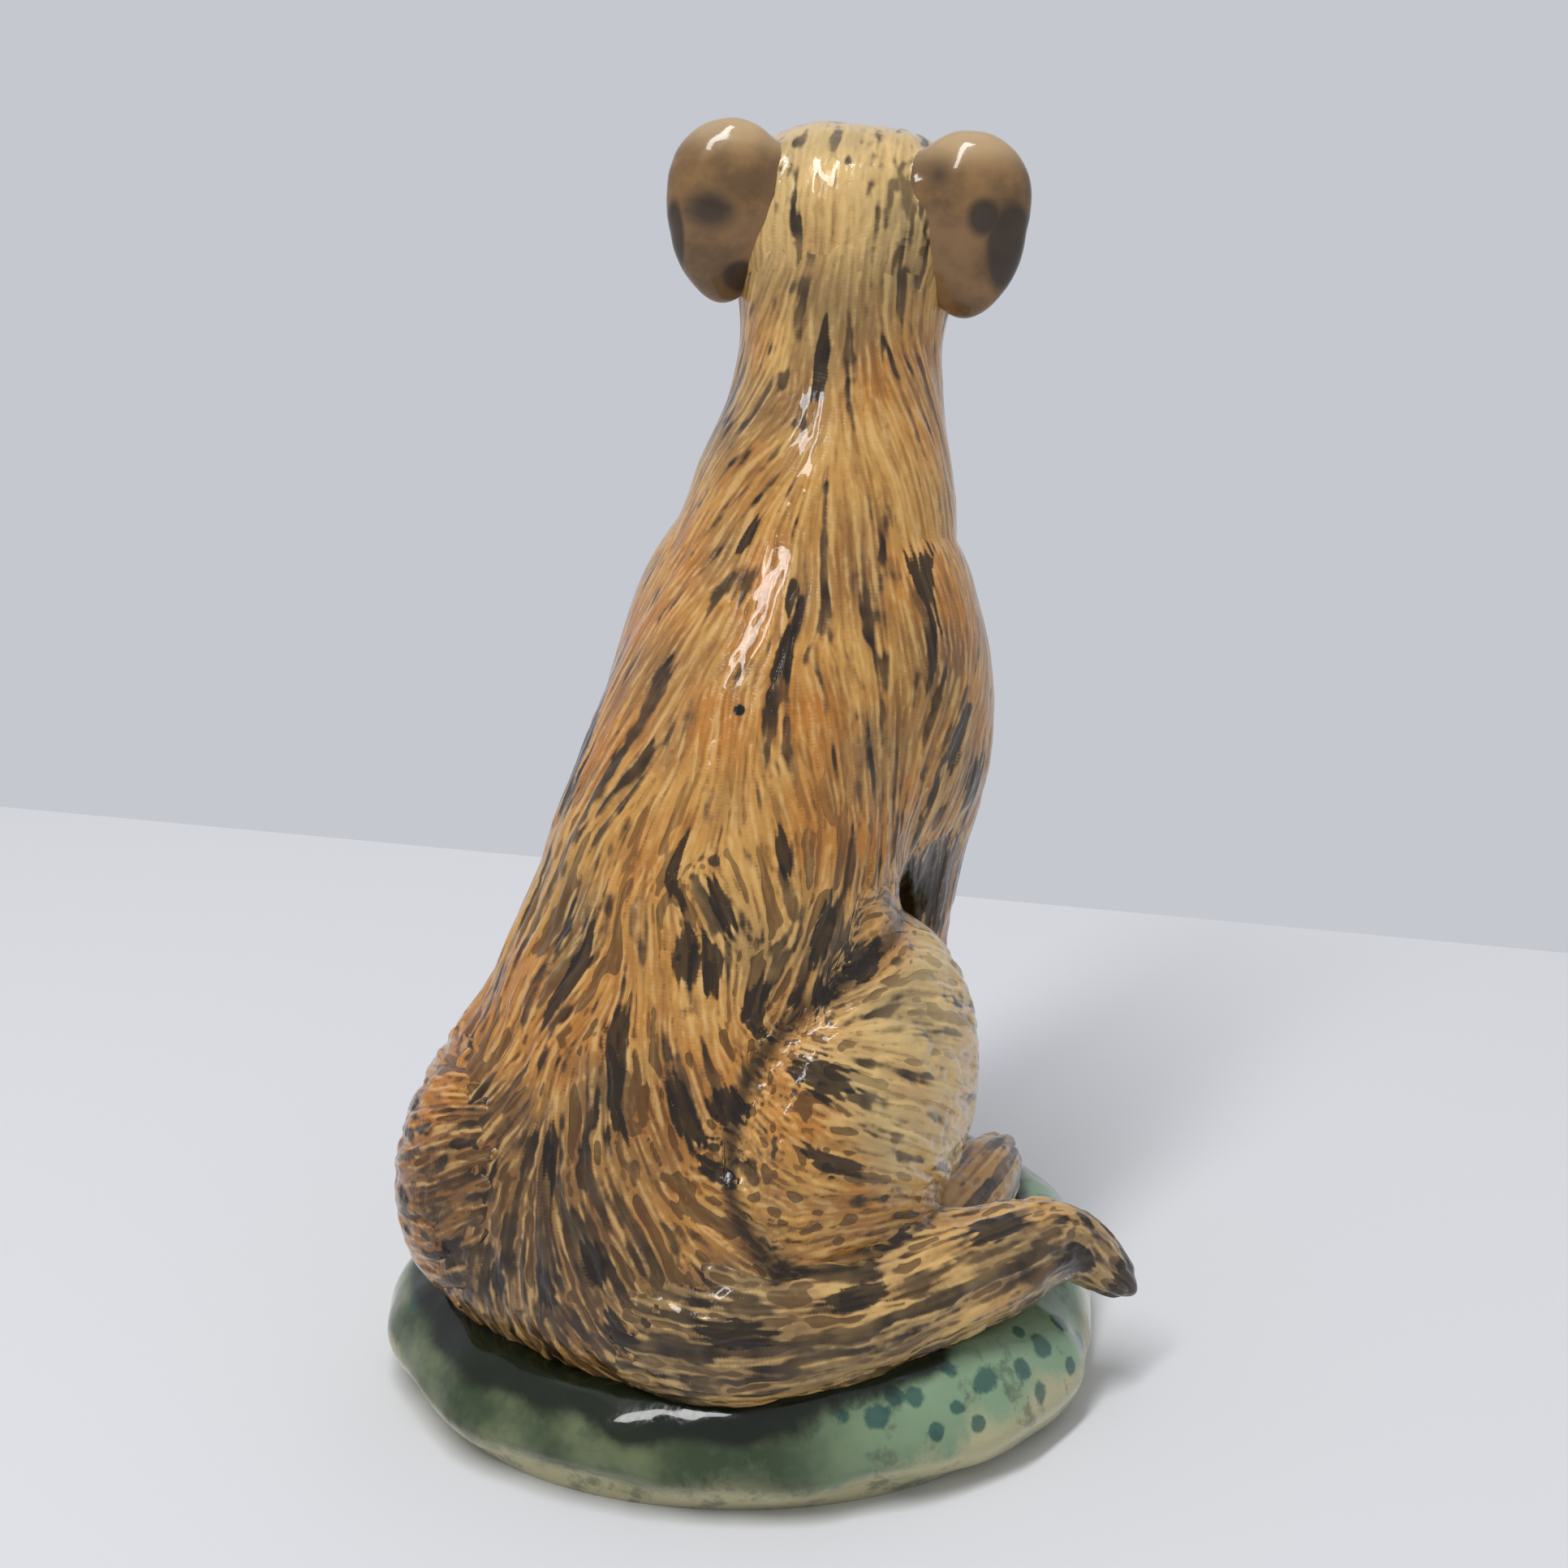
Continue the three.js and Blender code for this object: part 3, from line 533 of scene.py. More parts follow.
def scratched(points, way, depth, wild, dabs=(), pale=0.0, crease=0.0):
    """Hair scratched into a grid: noise drawn out along the hair, cut in by depth. The marks kept are the way
    of the hair, the tufts, the brush dabs, how near a seam lies, how wild the brindle is, how grey the wash
    under it, how pale the glaze is and how deep the strokes are cut."""
    normal, out = facing(points), outward(points)
    way = unit(way - out * (way * out).sum(-1, keepdims=True))
    tuft = drawn(grain(points, TUFT_SIZE, 3.7), points, way, TUFT_REACH) / TUFT_SPREAD
    cloud = drawn(grain(points, CLOUD_SIZE, 1.3), points, way, CLOUD_REACH) / CLOUD_SPREAD
    low = step(*RUMP_HEIGHTS, points[..., 2]) * step(-0.2, 0.5, normal[..., 1])
    high = step(*BACK_HEIGHTS, points[..., 2])
    wash = sum(np.exp(-((points - w[:3]) ** 2).sum(-1) / w[3] ** 2) for w in WASHES)
    grey = 0.5 * np.maximum(wild - GREY_FROM, 0) + (0.3 * low + 0.8 * wash) * (1 - 0.6 * pale)
    brindle = wild * (1 - 0.85 * high) - 0.22 * high + 0.4 * low + 0.25 * cloud + 0.5 * wash
    height = depth * np.tanh(1.2 * tuft) + 0.3 * grain(points, 9.0)
    level = np.zeros_like(tuft)
    marks = {
        "way": way,
        "tuft": np.tanh(tuft) / 2 + 0.5,
        "dab": np.clip(brushed(points, normal, way, dabs), -1, 1),
        "crease": level + crease,
        "wild": np.clip(brindle, -0.4, 1.2),
        "wash": np.clip(0.3 * cloud - 0.1 + 0.05 * high + grey, 0, 1),
        "pale": np.clip(pale + 0.12 * cloud, 0, 1),
        "cut": level + depth / FULL_CUT,
    }
    return points + normal * height[..., None], marks


lift = np.array([0, 0, SEAT])
trunk_form = roll(TRUNK_PATH + lift, TRUNK_SIZE, ACROSS, blunt=(9, 3.6))
neck_form = roll(NECK_PATH + lift, NECK_SIZE, ACROSS, blunt=(6, 4))
left_thigh_form = roll(LEFT_THIGH_PATH + lift, LEFT_THIGH_SIZE, ACROSS, blunt=(2.2, 2.2))
right_thigh_form = roll(RIGHT_THIGH_PATH + lift, RIGHT_THIGH_SIZE, ACROSS, blunt=(2.2, 2.2))
left_foreleg_form = roll(FORELEG_PATH + lift, FORELEG_SIZE, ACROSS, blunt=(2.6, 8))
right_foreleg_form = roll(FORELEG_PATH * [-1, 1, 1] + lift, FORELEG_SIZE, ACROSS, blunt=(2.6, 8))
tail_form = roll(TAIL_PATH + lift, TAIL_SIZE, UPRIGHT, blunt=(6, 4.5))
trunk_shell, neck_shell, tail_shell = shell(trunk_form), shell(neck_form), shell(tail_form)
left_thigh_shell, right_thigh_shell = shell(left_thigh_form), shell(right_thigh_form)
left_foreleg_shell, right_foreleg_shell = shell(left_foreleg_form), shell(right_foreleg_form)
joins = [
    (neck_shell, NECK_JOIN), (left_thigh_shell, LEFT_THIGH_JOIN), (right_thigh_shell, RIGHT_THIGH_JOIN),
    (left_foreleg_shell, FORELEG_JOIN), (right_foreleg_shell, FORELEG_JOIN), (tail_shell, TAIL_JOIN),
]
points, crease = luted(trunk_form, rows=215, cols=440, joins=joins, first=0.02)
depth = 0.07 + 0.23 * step(115, 45, points[..., 2])
points = folded(points)
points, marks = scratched(points, comb(points, COAT_HAIR), depth, wild=0.2, dabs=BACK_DABS, crease=crease)

# The vent's core, from its round top down to the trunk's foot: it narrows upwards and leans with the back
CORE_FOOT, CORE_RISE = np.append(VENT_MIDDLE, 8), np.array([-1, -13, 80])
up = np.linspace(1, 0, 9)[:, None, None]
turn = np.arange(points.shape[1]) * 2 * np.pi / points.shape[1]
ring = np.stack([np.cos(turn), np.sin(turn), 0 * turn], -1)
core = CORE_FOOT + up * CORE_RISE
core = core + np.minimum(VENT_REACH, 30 * (1 - up)) * (1 - 0.4 * up) * ring
points = np.concatenate([core, points])
marks = {key: np.concatenate([value[:1].repeat(len(core), 0), value]) for key, value in marks.items()}
trunk = skin("trunk_glazed", points, marks)

# Pinholes that gas left in the glaze, in metres
PINHOLES = np.array([(-3.2, 9.8, 97.9), (-20.5, -18.3, 115.5)]) * 0.001
PINHOLE_REACH = 0.0009
HONEY_DARK, HONEY_LIGHT, HONEY_PALE = colour(192, 124, 50), colour(210, 160, 86), colour(228, 196, 132)
STREAK_DARK, STREAK_LIGHT = colour(124, 78, 34), colour(236, 196, 128)
BRINDLE_SOFT, BRINDLE_DARK = colour(96, 76, 56), colour(34, 25, 16)
TUFT_BROWN, NEEDLE_BROWN, WASH_GREY = colour(130, 82, 38), colour(70, 46, 24), colour(92, 74, 54)
# The second colour here is painted shade, laid into the creases where the pieces meet
DAB_DARK, CREASE_SHADE, PINHOLE_DARK = colour(32, 24, 15), colour(28, 19, 11), colour(22, 18, 14)
GREEN_CREEP = colour(44, 70, 52)


def needled(tree, size, reach, taps):
    """Needle strokes from 0 to 1: noise of a grain size summed at a few places along the way of the hair."""
    here = add(tree, "ShaderNodeTexCoord", {})["Object"]
    way = add(tree, "ShaderNodeAttribute", {}, attribute_name="way")["Vector"]
    total = 0.0
    for k in np.linspace(-reach, reach, taps):
        spot = add(tree, "ShaderNodeVectorMath", {0: way, 1: (k, k, k), 2: here}, operation="MULTIPLY_ADD")[0]
        noise = add(tree, "ShaderNodeTexNoise", {"Vector": spot, "Scale": 1 / size, "Detail": 0.0})[0]
        total = worked(tree, "ADD", noise, total)
    spread = 0.36 * taps**0.5
    return add(tree, "ShaderNodeMapRange", {0: total, 1: taps / 2 - spread, 2: taps / 2 + spread})[0]


def honey_glaze(tree):
    """Honey in streaks of orange and yellow, a grey wash, the brindle in soft strokes of the brush, thin dark
    needle lines where the hair is cut deep, dark dabs, painted shade in the seams, pinholes and green at the
    foot."""
    streak = needled(tree, 0.0007, 0.005, 21)
    brush = needled(tree, 0.002, 0.0085, 17)
    cut = ramped(tree, mark(tree, "cut"), 0.3, 1.3, 0.15, 1.0)
    line = worked(tree, "MAXIMUM", ramped(tree, brush, 0.27, 0.2), ramped(tree, streak, 0.28, 0.16, 0.0, 0.5))
    soft = ramped(tree, mark(tree, "pale"), 0.2, 1.0, 1.0, 0.3)
    shown = worked(tree, "MULTIPLY", cut, ramped(tree, soft, 0.0, 1.0, 0.4, 1.0))
    line = worked(tree, "MULTIPLY", line, shown)
    tint = mixed(tree, ramped(tree, speckle(tree, 45, 3, 0.6), 0.35, 0.65), HONEY_DARK, HONEY_LIGHT)
    tint = mixed(tree, mark(tree, "pale"), tint, HONEY_PALE)
    tuft = worked(tree, "MULTIPLY", ramped(tree, mark(tree, "tuft"), 0.5, 0.0, 0.0, 0.35), soft)
    tint = mixed(tree, tuft, tint, TUFT_BROWN)
    tint = mixed(tree, ramped(tree, mark(tree, "wash"), 0.0, 1.0, 0.0, 0.65), tint, WASH_GREY)
    deep = worked(tree, "MULTIPLY", ramped(tree, streak, 0.5, 0.15, 0.0, 0.45), soft)
    tint = mixed(tree, deep, tint, STREAK_DARK)
    tint = mixed(tree, ramped(tree, streak, 0.52, 0.9, 0.0, 0.5), tint, STREAK_LIGHT)
    dry = worked(tree, "MULTIPLY_ADD", streak, -0.25, brush)
    wild = worked(tree, "MULTIPLY_ADD", mark(tree, "wild"), 0.22, dry)
    dense = ramped(tree, speckle(tree, 160, 2, 0.5, (0.4, 0.2, 0.1)), 0.3, 0.7, 0.4, 0.95)
    tint = mixed(tree, ramped(tree, wild, 0.48, 0.7, 0.0, 0.5), tint, BRINDLE_SOFT)
    tint = mixed(tree, ramped(tree, wild, 0.6, 0.76, 0.0, dense), tint, BRINDLE_DARK)
    tint = mixed(tree, ramped(tree, line, 0.0, 1.0, 0.0, 0.7), tint, NEEDLE_BROWN)
    edge = worked(tree, "MULTIPLY_ADD", streak, -0.7, mark(tree, "dab"))
    tint = mixed(tree, ramped(tree, edge, -0.42, -0.18, 0.0, 0.9), tint, DAB_DARK)
    # Painted shade: the creases at the narrow joins, where the pieces meet, are darkened
    tint = mixed(tree, ramped(tree, mark(tree, "crease"), 0.55, 1.0, 0.0, 0.85), tint, CREASE_SHADE)
    for place in PINHOLES:
        here = add(tree, "ShaderNodeTexCoord", {})["Object"]
        off = add(tree, "ShaderNodeVectorMath", {0: here, 1: place}, operation="DISTANCE")["Value"]
        tint = mixed(tree, ramped(tree, off, PINHOLE_REACH, PINHOLE_REACH * 0.7), tint, PINHOLE_DARK)
    tint = mixed(tree, mark(tree, "creep"), tint, GREEN_CREEP)
    height = worked(tree, "MULTIPLY_ADD", streak, 0.5, worked(tree, "MULTIPLY", line, -0.8))
    return tint, height, 0.0003


honey = glazed("honey_glaze", honey_glaze)
trunk.data.materials.append(honey)
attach(trunk, "root")
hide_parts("trunk")

# Neck
# A shorter roll that rises out of the shoulders and carries the head, turned to the dog's left.
# It is smeared into the shoulders and the back of the skull, so the scratched hair runs on without a break.

HEAD_PLACE = np.array([1.7, -36, 141 + SEAT])
HEAD_TURN, HEAD_TILT = np.radians(20), np.radians(2.8)
SKULL_PATH = np.array([(0, 16.5, 0), (0, 0, 2), (0, -16.5, 0)])
SKULL_SIZE = np.array([(29, 25), (31, 25), (22, 21)], float)
SKULL_JOIN = 10.0

# The head's own axes as columns: tilted to the side, then turned
HEAD = np.array([
    (np.cos(HEAD_TURN) * np.cos(HEAD_TILT), -np.sin(HEAD_TURN), -np.cos(HEAD_TURN) * np.sin(HEAD_TILT)),
    (np.sin(HEAD_TURN) * np.cos(HEAD_TILT), np.cos(HEAD_TURN), -np.sin(HEAD_TURN) * np.sin(HEAD_TILT)),
    (np.sin(HEAD_TILT), 0, np.cos(HEAD_TILT)),
])


def on_head(path, size, blunt, square=1.0):
    """A roll laid out on the head, whose own path faces -Y, turned and moved to the head's place."""
    return roll(path @ HEAD.T + HEAD_PLACE, size, HEAD[:, 0], blunt, square)


def crown(points):
    """How much paler the head is painted: an eased step of the height over the jaw, paler towards the top."""
    return 0.8 * step(-15, 9, ((points - HEAD_PLACE) @ HEAD)[..., 2])


skull_form = on_head(SKULL_PATH, SKULL_SIZE, blunt=(2.6, 2.4), square=0.8)
skull_shell = shell(skull_form)
joins = [
    (trunk_shell, NECK_JOIN), (skull_shell, SKULL_JOIN),
    (left_foreleg_shell, SHOULDER_JOIN), (right_foreleg_shell, SHOULDER_JOIN),
]
points, _ = luted(neck_form, rows=150, cols=320, joins=joins)
way = comb(points, COAT_HAIR)
points, marks = scratched(points, way, depth=0.07, wild=0.1, dabs=BACK_DABS, pale=crown(points))
neck = skin("neck_glazed", points, marks)
neck.data.materials.append(honey)
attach(neck, "root")
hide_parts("neck")

# Thighs
# Two flat ovals of clay pressed on at the hips; the right knee is drawn up. Their hair fans out from the hip
# in short strokes, and the glaze is paler over them.

pale_coat = glazed("pale_glaze", honey_glaze)

# The right thigh's strokes, mirrored and moved over to the left one
LEFT_HAIR = np.array(THIGH_HAIR) * [-1, 1, 1, -1, 1, 1] + [10.5, 9, -7.5, 0, 0, 0]
for name, form, hair, paleness, wild, joins in (
    ("left_thigh", left_thigh_form, LEFT_HAIR, 0.5, 0.2, [
        (trunk_shell, LEFT_THIGH_JOIN), (left_foreleg_shell, TOUCH_JOIN),
    ]),
    ("right_thigh", right_thigh_form, COAT_HAIR, 0.95, -0.3, [
        (trunk_shell, RIGHT_THIGH_JOIN), (right_foreleg_shell, TOUCH_JOIN), (tail_shell, TOUCH_JOIN),
    ]),
):
    points, crease = luted(form, rows=180, cols=340, joins=joins)
    clear = step(0.3, 5, gap(points, trunk_shell))
    pale = paleness * clear * step(30, 19, points[..., 1] - 0.3 * (points[..., 2] - 50))
    points = folded(points)
    way = comb(points, hair)
    points, marks = scratched(points, way, depth=0.3, wild=wild, dabs=BACK_DABS, pale=pale, crease=crease)
    thigh = skin(name + "_glazed", points, marks)
    thigh.data.materials.append(pale_coat)
    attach(thigh, "root")
    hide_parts(name)

# Forelegs
# Straight rolls that hang from the shoulders and stand on the paws, flattened at the elbow and thinner below.
# They are smeared into the shoulders; the coat's hair runs on over them and follows the leg lower down.

COMB_SCALE = 4e4  # brings the combed hair to about the length of a step along the leg
for name, form, thigh_shell in (
    ("left_foreleg", left_foreleg_form, left_thigh_shell),
    ("right_foreleg", right_foreleg_form, right_thigh_shell),
):
    joins = [(trunk_shell, FORELEG_JOIN), (neck_shell, SHOULDER_JOIN), (thigh_shell, TOUCH_JOIN)]
    points, crease = luted(form, rows=240, cols=160, joins=joins)
    upper = step(70, 95, points[..., 2])[..., None]
    way = comb(points, COAT_HAIR) * COMB_SCALE * upper + np.gradient(points, axis=0) * (1 - upper)
    pale = 0.3 * step(60, 30, points[..., 2])
    depth = 0.07 + 0.05 * step(105, 85, points[..., 2])
    points, marks = scratched(points, way, depth, wild=0.2, dabs=BACK_DABS, pale=pale, crease=crease)
    foreleg = skin(name + "_glazed", points, marks)
    foreleg.data.materials.append(honey)
    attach(foreleg, "root")
    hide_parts(name)

# Paws
# Pads of clay under the forelegs and thighs, pressed a little into the mound, the toes marked with a needle.
# Honey brown on top, and the green of the mound has crept up their edges.

PAW_LIFT, TOES, TOE_DIAMETER, TOE_REACH = 14.2, 4, 5.0, 2.2
GROOVE_DEPTH, GROOVE_WIDTH = 1.1, 0.17  # in millimetres, and as a share of the toes' pitch
BACK_TO_FRONT = np.array([(0, 0.5, 0), (0, 0, 0), (0, -0.5, 0)])
for name, middle, size in (
    ("left_forepaw", (9.5, -39.5), (13, 18, 10)), ("right_forepaw", (-9.5, -39.5), (13, 18, 10)),
    ("left_hind_foot", (25, -13), (13, 42, 13)), ("right_hind_foot", (-25, -13), (13, 42, 13)),
):
    width, length, height = size
    ends = np.array([(*middle, PAW_LIFT + height / 2)] * 3) + BACK_TO_FRONT * length
    pad = roll(ends, np.array([(width, height)] * 3, float), ACROSS, blunt=(3, 3))
    points = even(pad, rows=90, cols=150)
    pitch = (width - TOE_DIAMETER) / (TOES - 1)
    across = (points[..., 0] - middle[0]) / pitch
    front = step(middle[1] - length / 2 + 8, middle[1] - length / 2 + 1, points[..., 1])
    groove = np.exp(-(((across - np.clip(np.rint(across), -1, 1)) / GROOVE_WIDTH) ** 2))
    points[..., 1] -= front * TOE_REACH * (1 - np.abs(across) / 2.4)
    points -= facing(points) * (front * groove * GROOVE_DEPTH)[..., None]
    points, marks = scratched(points, np.gradient(points, axis=0), depth=0.15, wild=0.5, pale=0.3)
    marks["creep"] = step(19, 15.5, points[..., 2] + 1.2 * grain(points, 5.0))
    paw = skin(name + "_glazed", points, marks)
    paw.data.materials.append(pale_coat)
    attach(paw, "root")
    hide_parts(name)

# Tail
# A tapered coil luted under the rump and laid round the right thigh, its tip over the edge of the mound.
# Long strokes run down it, as deep as those on the rump.

joins = [(trunk_shell, TAIL_JOIN), (right_thigh_shell, TOUCH_JOIN)]
points, crease = luted(tail_form, rows=300, cols=190, joins=joins)
way = np.gradient(points, axis=0)
points, marks = scratched(points, way, depth=0.3, wild=0.9, dabs=BACK_DABS, pale=0.55, crease=crease)
tail = skin("tail_glazed", points, marks)
tail.data.materials.append(honey)
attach(tail, "root")
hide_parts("tail")

# Skull
# A ball of clay drawn out to the brow, smeared onto the neck and scratched from the brow back to the nape.
# Brows and cheeks are pushed out with the thumb and the eye sockets pressed in; the head is painted paler
# towards its top.

MUZZLE_PATH = np.array([(0, -4.5, -4), (0, -18.25, -4), (0, -32, -4)])
MUZZLE_SIZE = np.array([(17.5, 15), (15.5, 13), (13, 12)])
JAW_PATH = np.array([(0, -4.5, -10.5), (0, -25.5, -10.5)])
JAW_SIZE = np.array([(12, 7.5), (9, 7.5)])
EAR_PATH = np.array([(14.4, 8.5, 14.4), (16.4, 10.5, 4.6), (16.4, 8.5, -10.1)])
EAR_SIZE = np.array([(16, 9), (16, 9), (13, 7.4)])
MUZZLE_JOIN, JAW_JOIN, EAR_JOIN = 6.0, 2.0, 2.5

# Strokes of the needle on the head's own axes: a place, and the way the hair lies there
SKULL_HAIR = np.array([
    (0, -14, 10, 0, 0.8, 0.6), (0, -6, 14, 0, 1, 0.1), (0, 8, 13, 0, 0.9, -0.4), (0, 16, 4, 0, 0.3, -0.95),
    (0, 16, -6, 0, 0.1, -1), (12, 6, -4, 0.2, 0.4, -0.9), (-12, 6, -4, -0.2, 0.4, -0.9),
    (11, -8, -3, 0.3, 0.8, -0.5), (-11, -8, -3, -0.3, 0.8, -0.5), (0, 0, -12, 0, 1, -0.2),
])

# Thumb marks on both sides of the head: a place, a reach and how far the clay is pushed out
FACE_PRESSES = np.array([
    (8, -11, 4.6, 3.4, -1.0), (7, -12.5, 8.8, 3.4, 1.0), (0, -15, 8, 2.6, -0.7),
    (0, -4, 14, 3, -0.5), (10.5, -7, -5, 6, 0.8),
])


def thumbed(points, presses):
    """The skin pushed out or in by bell curves about places on the head, the same on its left and right."""
    place = (points - HEAD_PLACE) @ HEAD
    place[..., 0] = np.abs(place[..., 0])
    push = sum(p[4] * np.exp(-((place - p[:3]) ** 2).sum(-1) / p[3] ** 2) for p in presses)
    return points + facing(points) * push[..., None]


muzzle_form = on_head(MUZZLE_PATH, MUZZLE_SIZE, blunt=(4, 4))
jaw_form = on_head(JAW_PATH, JAW_SIZE, blunt=(3, 3))
left_ear_form = on_head(EAR_PATH, EAR_SIZE, blunt=(2.4, 2.6))
right_ear_form = on_head(EAR_PATH * [-1, 1, 1], EAR_SIZE, blunt=(2.4, 2.6))
muzzle_shell, jaw_shell = shell(muzzle_form), shell(jaw_form)
left_ear_shell, right_ear_shell = shell(left_ear_form), shell(right_ear_form)
joins = [
    (neck_shell, SKULL_JOIN), (muzzle_shell, MUZZLE_JOIN), (jaw_shell, JAW_JOIN),
    (left_ear_shell, EAR_JOIN), (right_ear_shell, EAR_JOIN),
]
points, _ = luted(skull_form, rows=130, cols=240, joins=joins)
head_hair = np.hstack([SKULL_HAIR[:, :3] @ HEAD.T + HEAD_PLACE, SKULL_HAIR[:, 3:] @ HEAD.T])
points = thumbed(points, FACE_PRESSES)
points, marks = scratched(points, comb(points, head_hair), depth=0.1, wild=-0.1, pale=crown(points))
skull = skin("skull_glazed", points, marks)
skull.data.materials.append(honey)
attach(skull, "root")
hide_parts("skull")

# Muzzle and lower jaw
# Two short rolls luted under the brow; the line between them is the mouth. The lips are pushed out with the
# thumb, the cleft under the nose is pressed in, and fine hair is scratched along them.

MOUTH_JOIN = 1.0
MUZZLE_PRESSES = np.array([(5.5, -26, -7, 4, 0.9), (0, -33, -8, 1.4, -0.9), (0, -20, 3, 4, -0.4)])
for name, form, joins in (
    ("muzzle", muzzle_form, [(skull_shell, MUZZLE_JOIN), (jaw_shell, MOUTH_JOIN)]),
    ("lower_jaw", jaw_form, [(skull_shell, JAW_JOIN), (muzzle_shell, MOUTH_JOIN)]),
):
    points, crease = luted(form, rows=110, cols=150, joins=joins)
    points = thumbed(points, MUZZLE_PRESSES)
    way = np.gradient(points, axis=0)
    points, marks = scratched(points, way, depth=0.05, wild=-0.1, pale=crown(points), crease=crease)
    piece = skin(name + "_glazed", points, marks)
    piece.data.materials.append(honey)
    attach(piece, "root")
    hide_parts(name)

# Nose and eyes
# Balls of clay set into the muzzle and under the brow, left smooth, with the nostrils pressed into the nose.
# They are painted black before the clear glaze.

BLACK_PAINT, BLACK_THIN = colour(24, 20, 18), colour(52, 40, 32)


def black_glaze(tree):
    """Black, a little brown where the colour thins."""
    tint = mixed(tree, ramped(tree, speckle(tree, 500, 3), 0.4, 0.7), BLACK_PAINT, BLACK_THIN)
    return tint, speckle(tree, 800), 0.00003


black = glazed("black_glaze", black_glaze, rough=0.1, coat=1.0)
NOSTRILS = np.array([(2.0, -33.4, -1.2, 0.9, -0.9)])
for name, middle, size in (
    ("nose", (0, -31, -1), (7.2, 5, 5)),
    ("left_eye", (8, -10.5, 4.6), (4.8, 4.8, 4.8)),
    ("right_eye", (-8, -10.5, 4.6), (4.8, 4.8, 4.8)),
):
    width, length, height = size
    ends = np.array([middle] * 3, float) + BACK_TO_FRONT * length
    ball = on_head(ends, np.array([(width, height)] * 3, float), blunt=(2, 2))
    points = even(ball, rows=60, cols=80)
    points = thumbed(points, NOSTRILS)
    piece = skin(name + "_glazed", points, {})
    piece.data.materials.append(black)
    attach(piece, "root")
    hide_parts(name)

# Ears
# Thick leaves of clay folded over the corners of the skull and luted on, left smooth. The glaze is amber
# brown with grey spots brushed on, and a painted highlight in cream along the top of each ear.

LOBE_JOIN = 1.0
# The cream, the third colour here, is a painted highlight along the top of each ear
EAR_DARK, EAR_LIGHT, EAR_TOP_HIGHLIGHT = colour(110, 84, 54), colour(150, 114, 72), colour(214, 184, 140)
EAR_GREY = colour(54, 46, 40)

# Brushed spots on the back of each ear: out and up on the head, half a width, half a height, how dark
EAR_SPOTS = {
    "left_ear": [(14, -6, 2.6, 2.5, 0.9), (18, 3, 4.5, 3.5, 0.45), (23, -2, 1.6, 6, 1.0)],
    "right_ear": [(22, 0, 3.2, 6.5, 1.0), (18.5, 4, 2.6, 2.8, 0.7), (12, 9, 3, 3, 0.3)],
}


def ear_glaze(tree):
    """Amber brown in clouds, a painted highlight in cream along the top, and the grey spots brushed on."""
    cloud = speckle(tree, 130, 4, 0.6)
    tint = mixed(tree, ramped(tree, cloud, 0.35, 0.65), EAR_DARK, EAR_LIGHT)
    # Painted highlight: cream over the top of the ear
    tint = mixed(tree, ramped(tree, mark(tree, "top_highlight"), 0.0, 1.0, 0.0, 0.6), tint, EAR_TOP_HIGHLIGHT)
    spot = worked(tree, "MULTIPLY_ADD", cloud, 0.5, mark(tree, "spot"))
    tint = mixed(tree, ramped(tree, spot, 0.3, 0.7, 0.0, 0.88), tint, EAR_GREY)
    return tint, speckle(tree, 300, 2), 0.0001


ear_amber = glazed("ear_glaze", ear_glaze)
for name, form in (("left_ear", left_ear_form), ("right_ear", right_ear_form)):
    points, _ = luted(form, rows=110, cols=130, joins=[(skull_shell, EAR_JOIN), (neck_shell, LOBE_JOIN)])
    points = points + facing(points) * (0.35 * grain(points, 6.0) + 0.12 * grain(points, 2.5))[..., None]
    local = (points - HEAD_PLACE) @ HEAD
    out, back, high = np.abs(local[..., 0]), local[..., 1], local[..., 2]
    spots = [
        dark * (1.2 - np.hypot((out - x) / wide, (high - z) / tall))
        for x, z, wide, tall, dark in EAR_SPOTS[name]
    ]
    # The second mark is a painted highlight, growing towards the top of the ear
    marks = {"spot": np.clip(np.max(spots, axis=0), 0, 1) * step(6, 9, back), "top_highlight": step(8, 15, high)}
    ear = skin(name + "_glazed", points, marks)
    ear.data.materials.append(ear_amber)
    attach(ear, "root")
    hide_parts(name)

# Studio
# A pale table top before a pale wall. A narrow strip lamp hangs high over the dog's back and a wide one above
# it, with even light all round; camera and reflections see the wall's own tone instead.

PAPER_TONE, LIGHT_TONE, WALL_TONE = colour(232, 233, 237), colour(214, 216, 220), colour(197, 200, 207)
TABLE_CORNERS = [(-2.4, -0.596, 0), (2.4, 0.204, 0), (2.4, 3, 0), (-2.4, 3, 0)]
LAMP_AIM = np.array([0, 0, 0.08])

table_mesh = bpy.data.meshes.new("table")
table_mesh.from_pydata(TABLE_CORNERS, [], [(0, 1, 2, 3)])
table = bpy.data.objects.new("table", table_mesh)
bpy.context.scene.collection.objects.link(table)
paper = bpy.data.materials.new("table_paper")
paper.use_nodes = True
paper.node_tree.nodes["Principled BSDF"].inputs["Base Color"].default_value = PAPER_TONE
paper.node_tree.nodes["Principled BSDF"].inputs["Roughness"].default_value = 0.8
table.data.materials.append(paper)

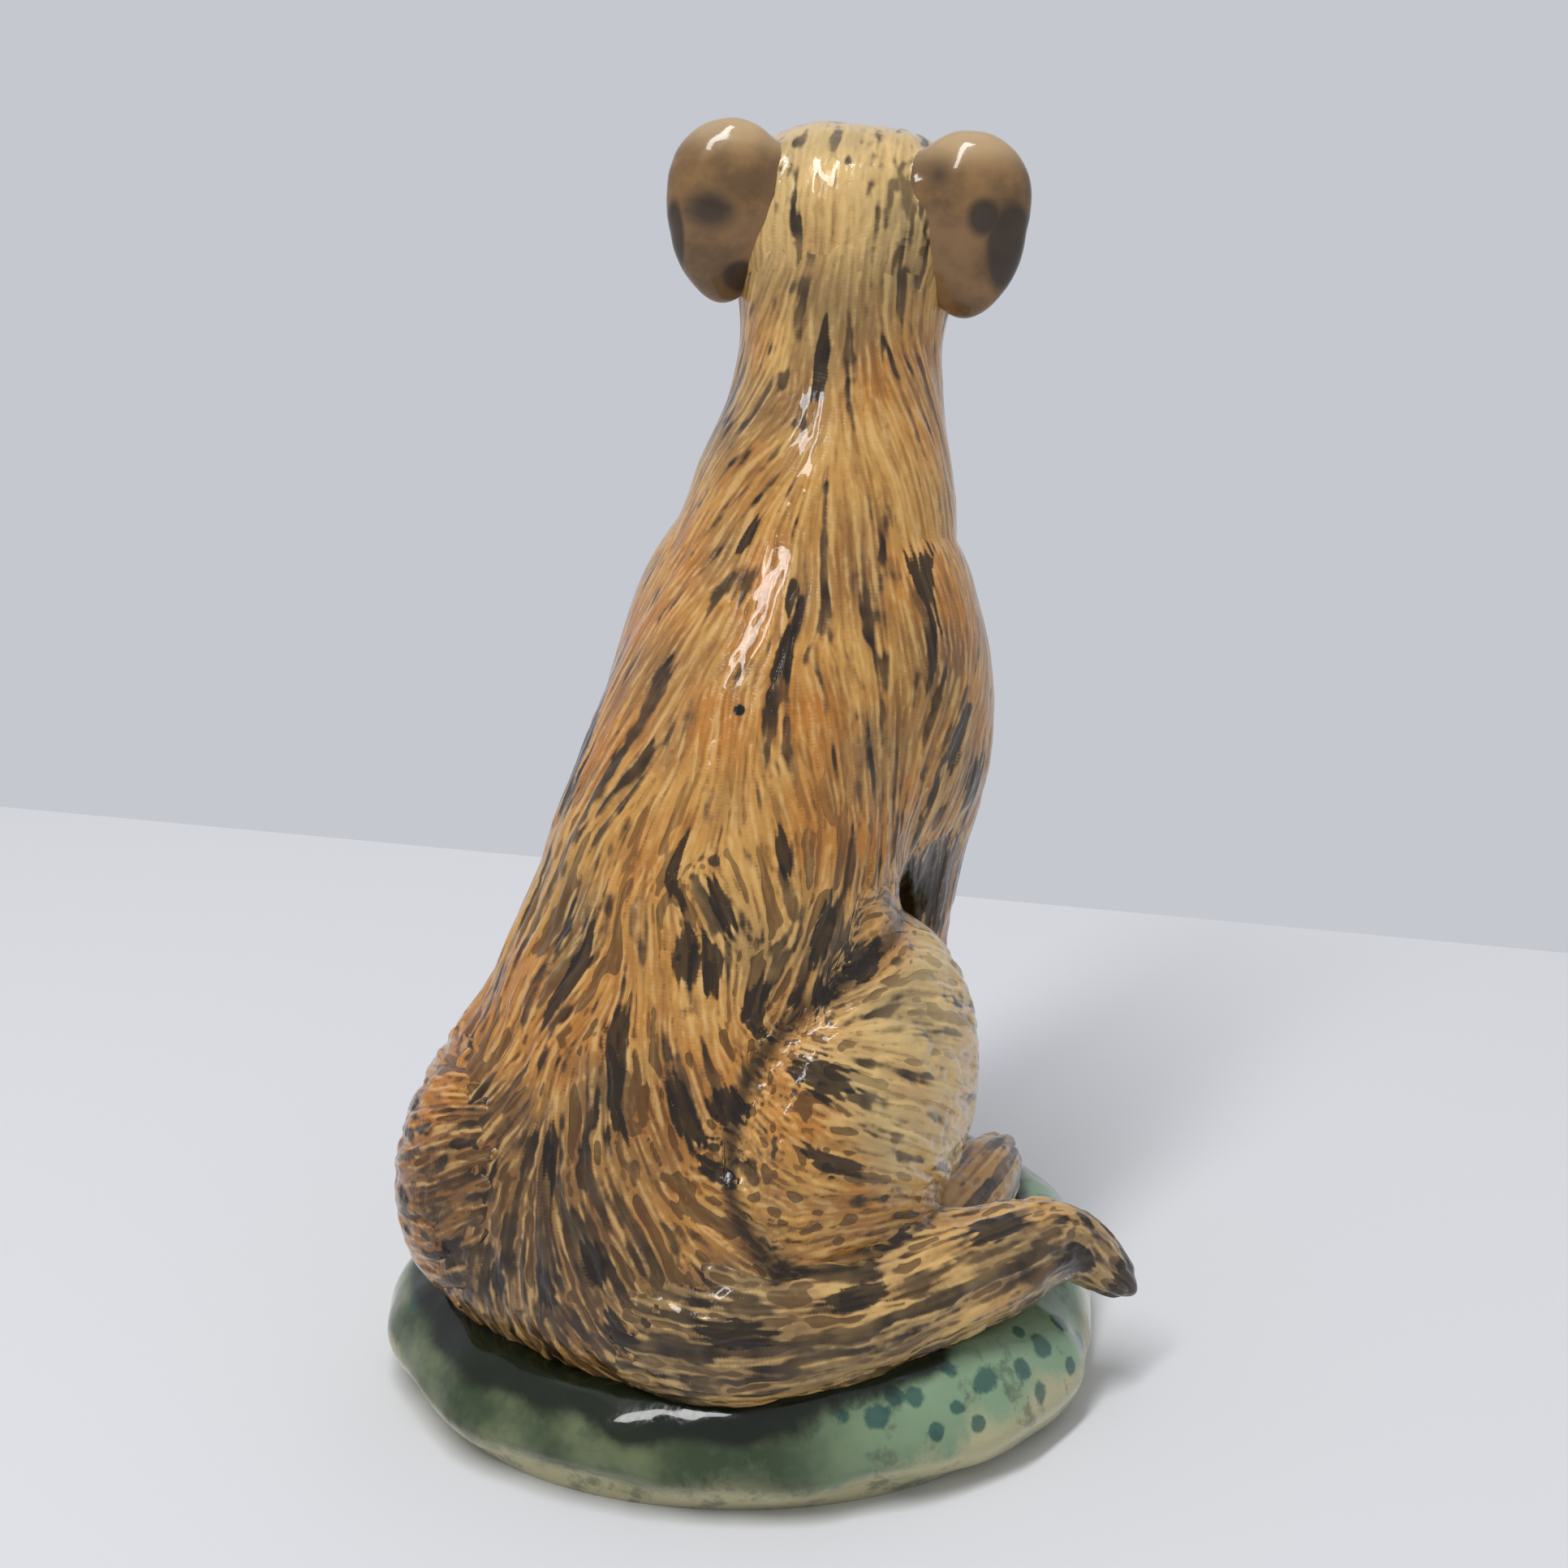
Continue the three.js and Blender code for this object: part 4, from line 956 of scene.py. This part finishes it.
world = bpy.data.worlds.new("studio")
world.use_nodes = True
bpy.context.scene.world = world
tree = world.node_tree
sky = tree.nodes["Background"]
sky.inputs["Color"].default_value = LIGHT_TONE
sky.inputs["Strength"].default_value = 0.58
wall = add(tree, "ShaderNodeBackground", {"Color": WALL_TONE, "Strength": 1.0})[0]
ray = add(tree, "ShaderNodeLightPath", {})
seen = worked(tree, "ADD", ray["Is Camera Ray"], ray["Is Glossy Ray"])
sockets = {0: seen, 1: ray["Is Transmission Ray"]}
seen = add(tree, "ShaderNodeMath", sockets, operation="ADD", use_clamp=True)[0]
blend = add(tree, "ShaderNodeMixShader", {0: seen, 1: sky.outputs[0], 2: wall})[0]
tree.links.new(blend, tree.nodes["World Output"].inputs[0])

for name, place, size, power in (
    ("strip_lamp", (0.06, 0.36, 1.0), (0.13, 0.8), 5.8),
    ("ceiling_lamp", (0.1, -0.1, 1.3), (1.2, 1.2), 1.4),
):
    lamp = bpy.data.lights.new(name, "AREA")
    lamp.shape, lamp.energy = "RECTANGLE", power
    lamp.size, lamp.size_y = size
    holder = bpy.data.objects.new(name, lamp)
    bpy.context.scene.collection.objects.link(holder)
    holder.location = place
    aim = LAMP_AIM - place
    turn = np.arctan2(aim[1], aim[0])
    holder.rotation_euler = (np.arctan2(np.hypot(aim[0], aim[1]), -aim[2]), 0, turn - np.pi / 2)

# Camera
# It stands behind the dog on its right, a little above it and about a third of a metre off, and looks down on
# its back. The focal length comes from that of the photograph in pixels.

SENSOR_WIDTH, FOCAL_PIXELS, PHOTO_PIXELS = 36.0, 3200, 1932
CAMERA_TILT, CAMERA_TURN = 17.5, 25

camera = bpy.data.cameras.new("camera")
camera.sensor_width, camera.lens = SENSOR_WIDTH, SENSOR_WIDTH * FOCAL_PIXELS / PHOTO_PIXELS
camera.clip_start = 0.01
stand = bpy.data.objects.new("camera", camera)
bpy.context.scene.collection.objects.link(stand)
stand.location = (-0.1443, 0.2988, 0.1893)
stand.rotation_euler = (np.radians(90 - CAMERA_TILT), 0, np.radians(180 + CAMERA_TURN))
bpy.context.scene.camera = stand
bpy.context.scene.view_settings.view_transform = "Standard"
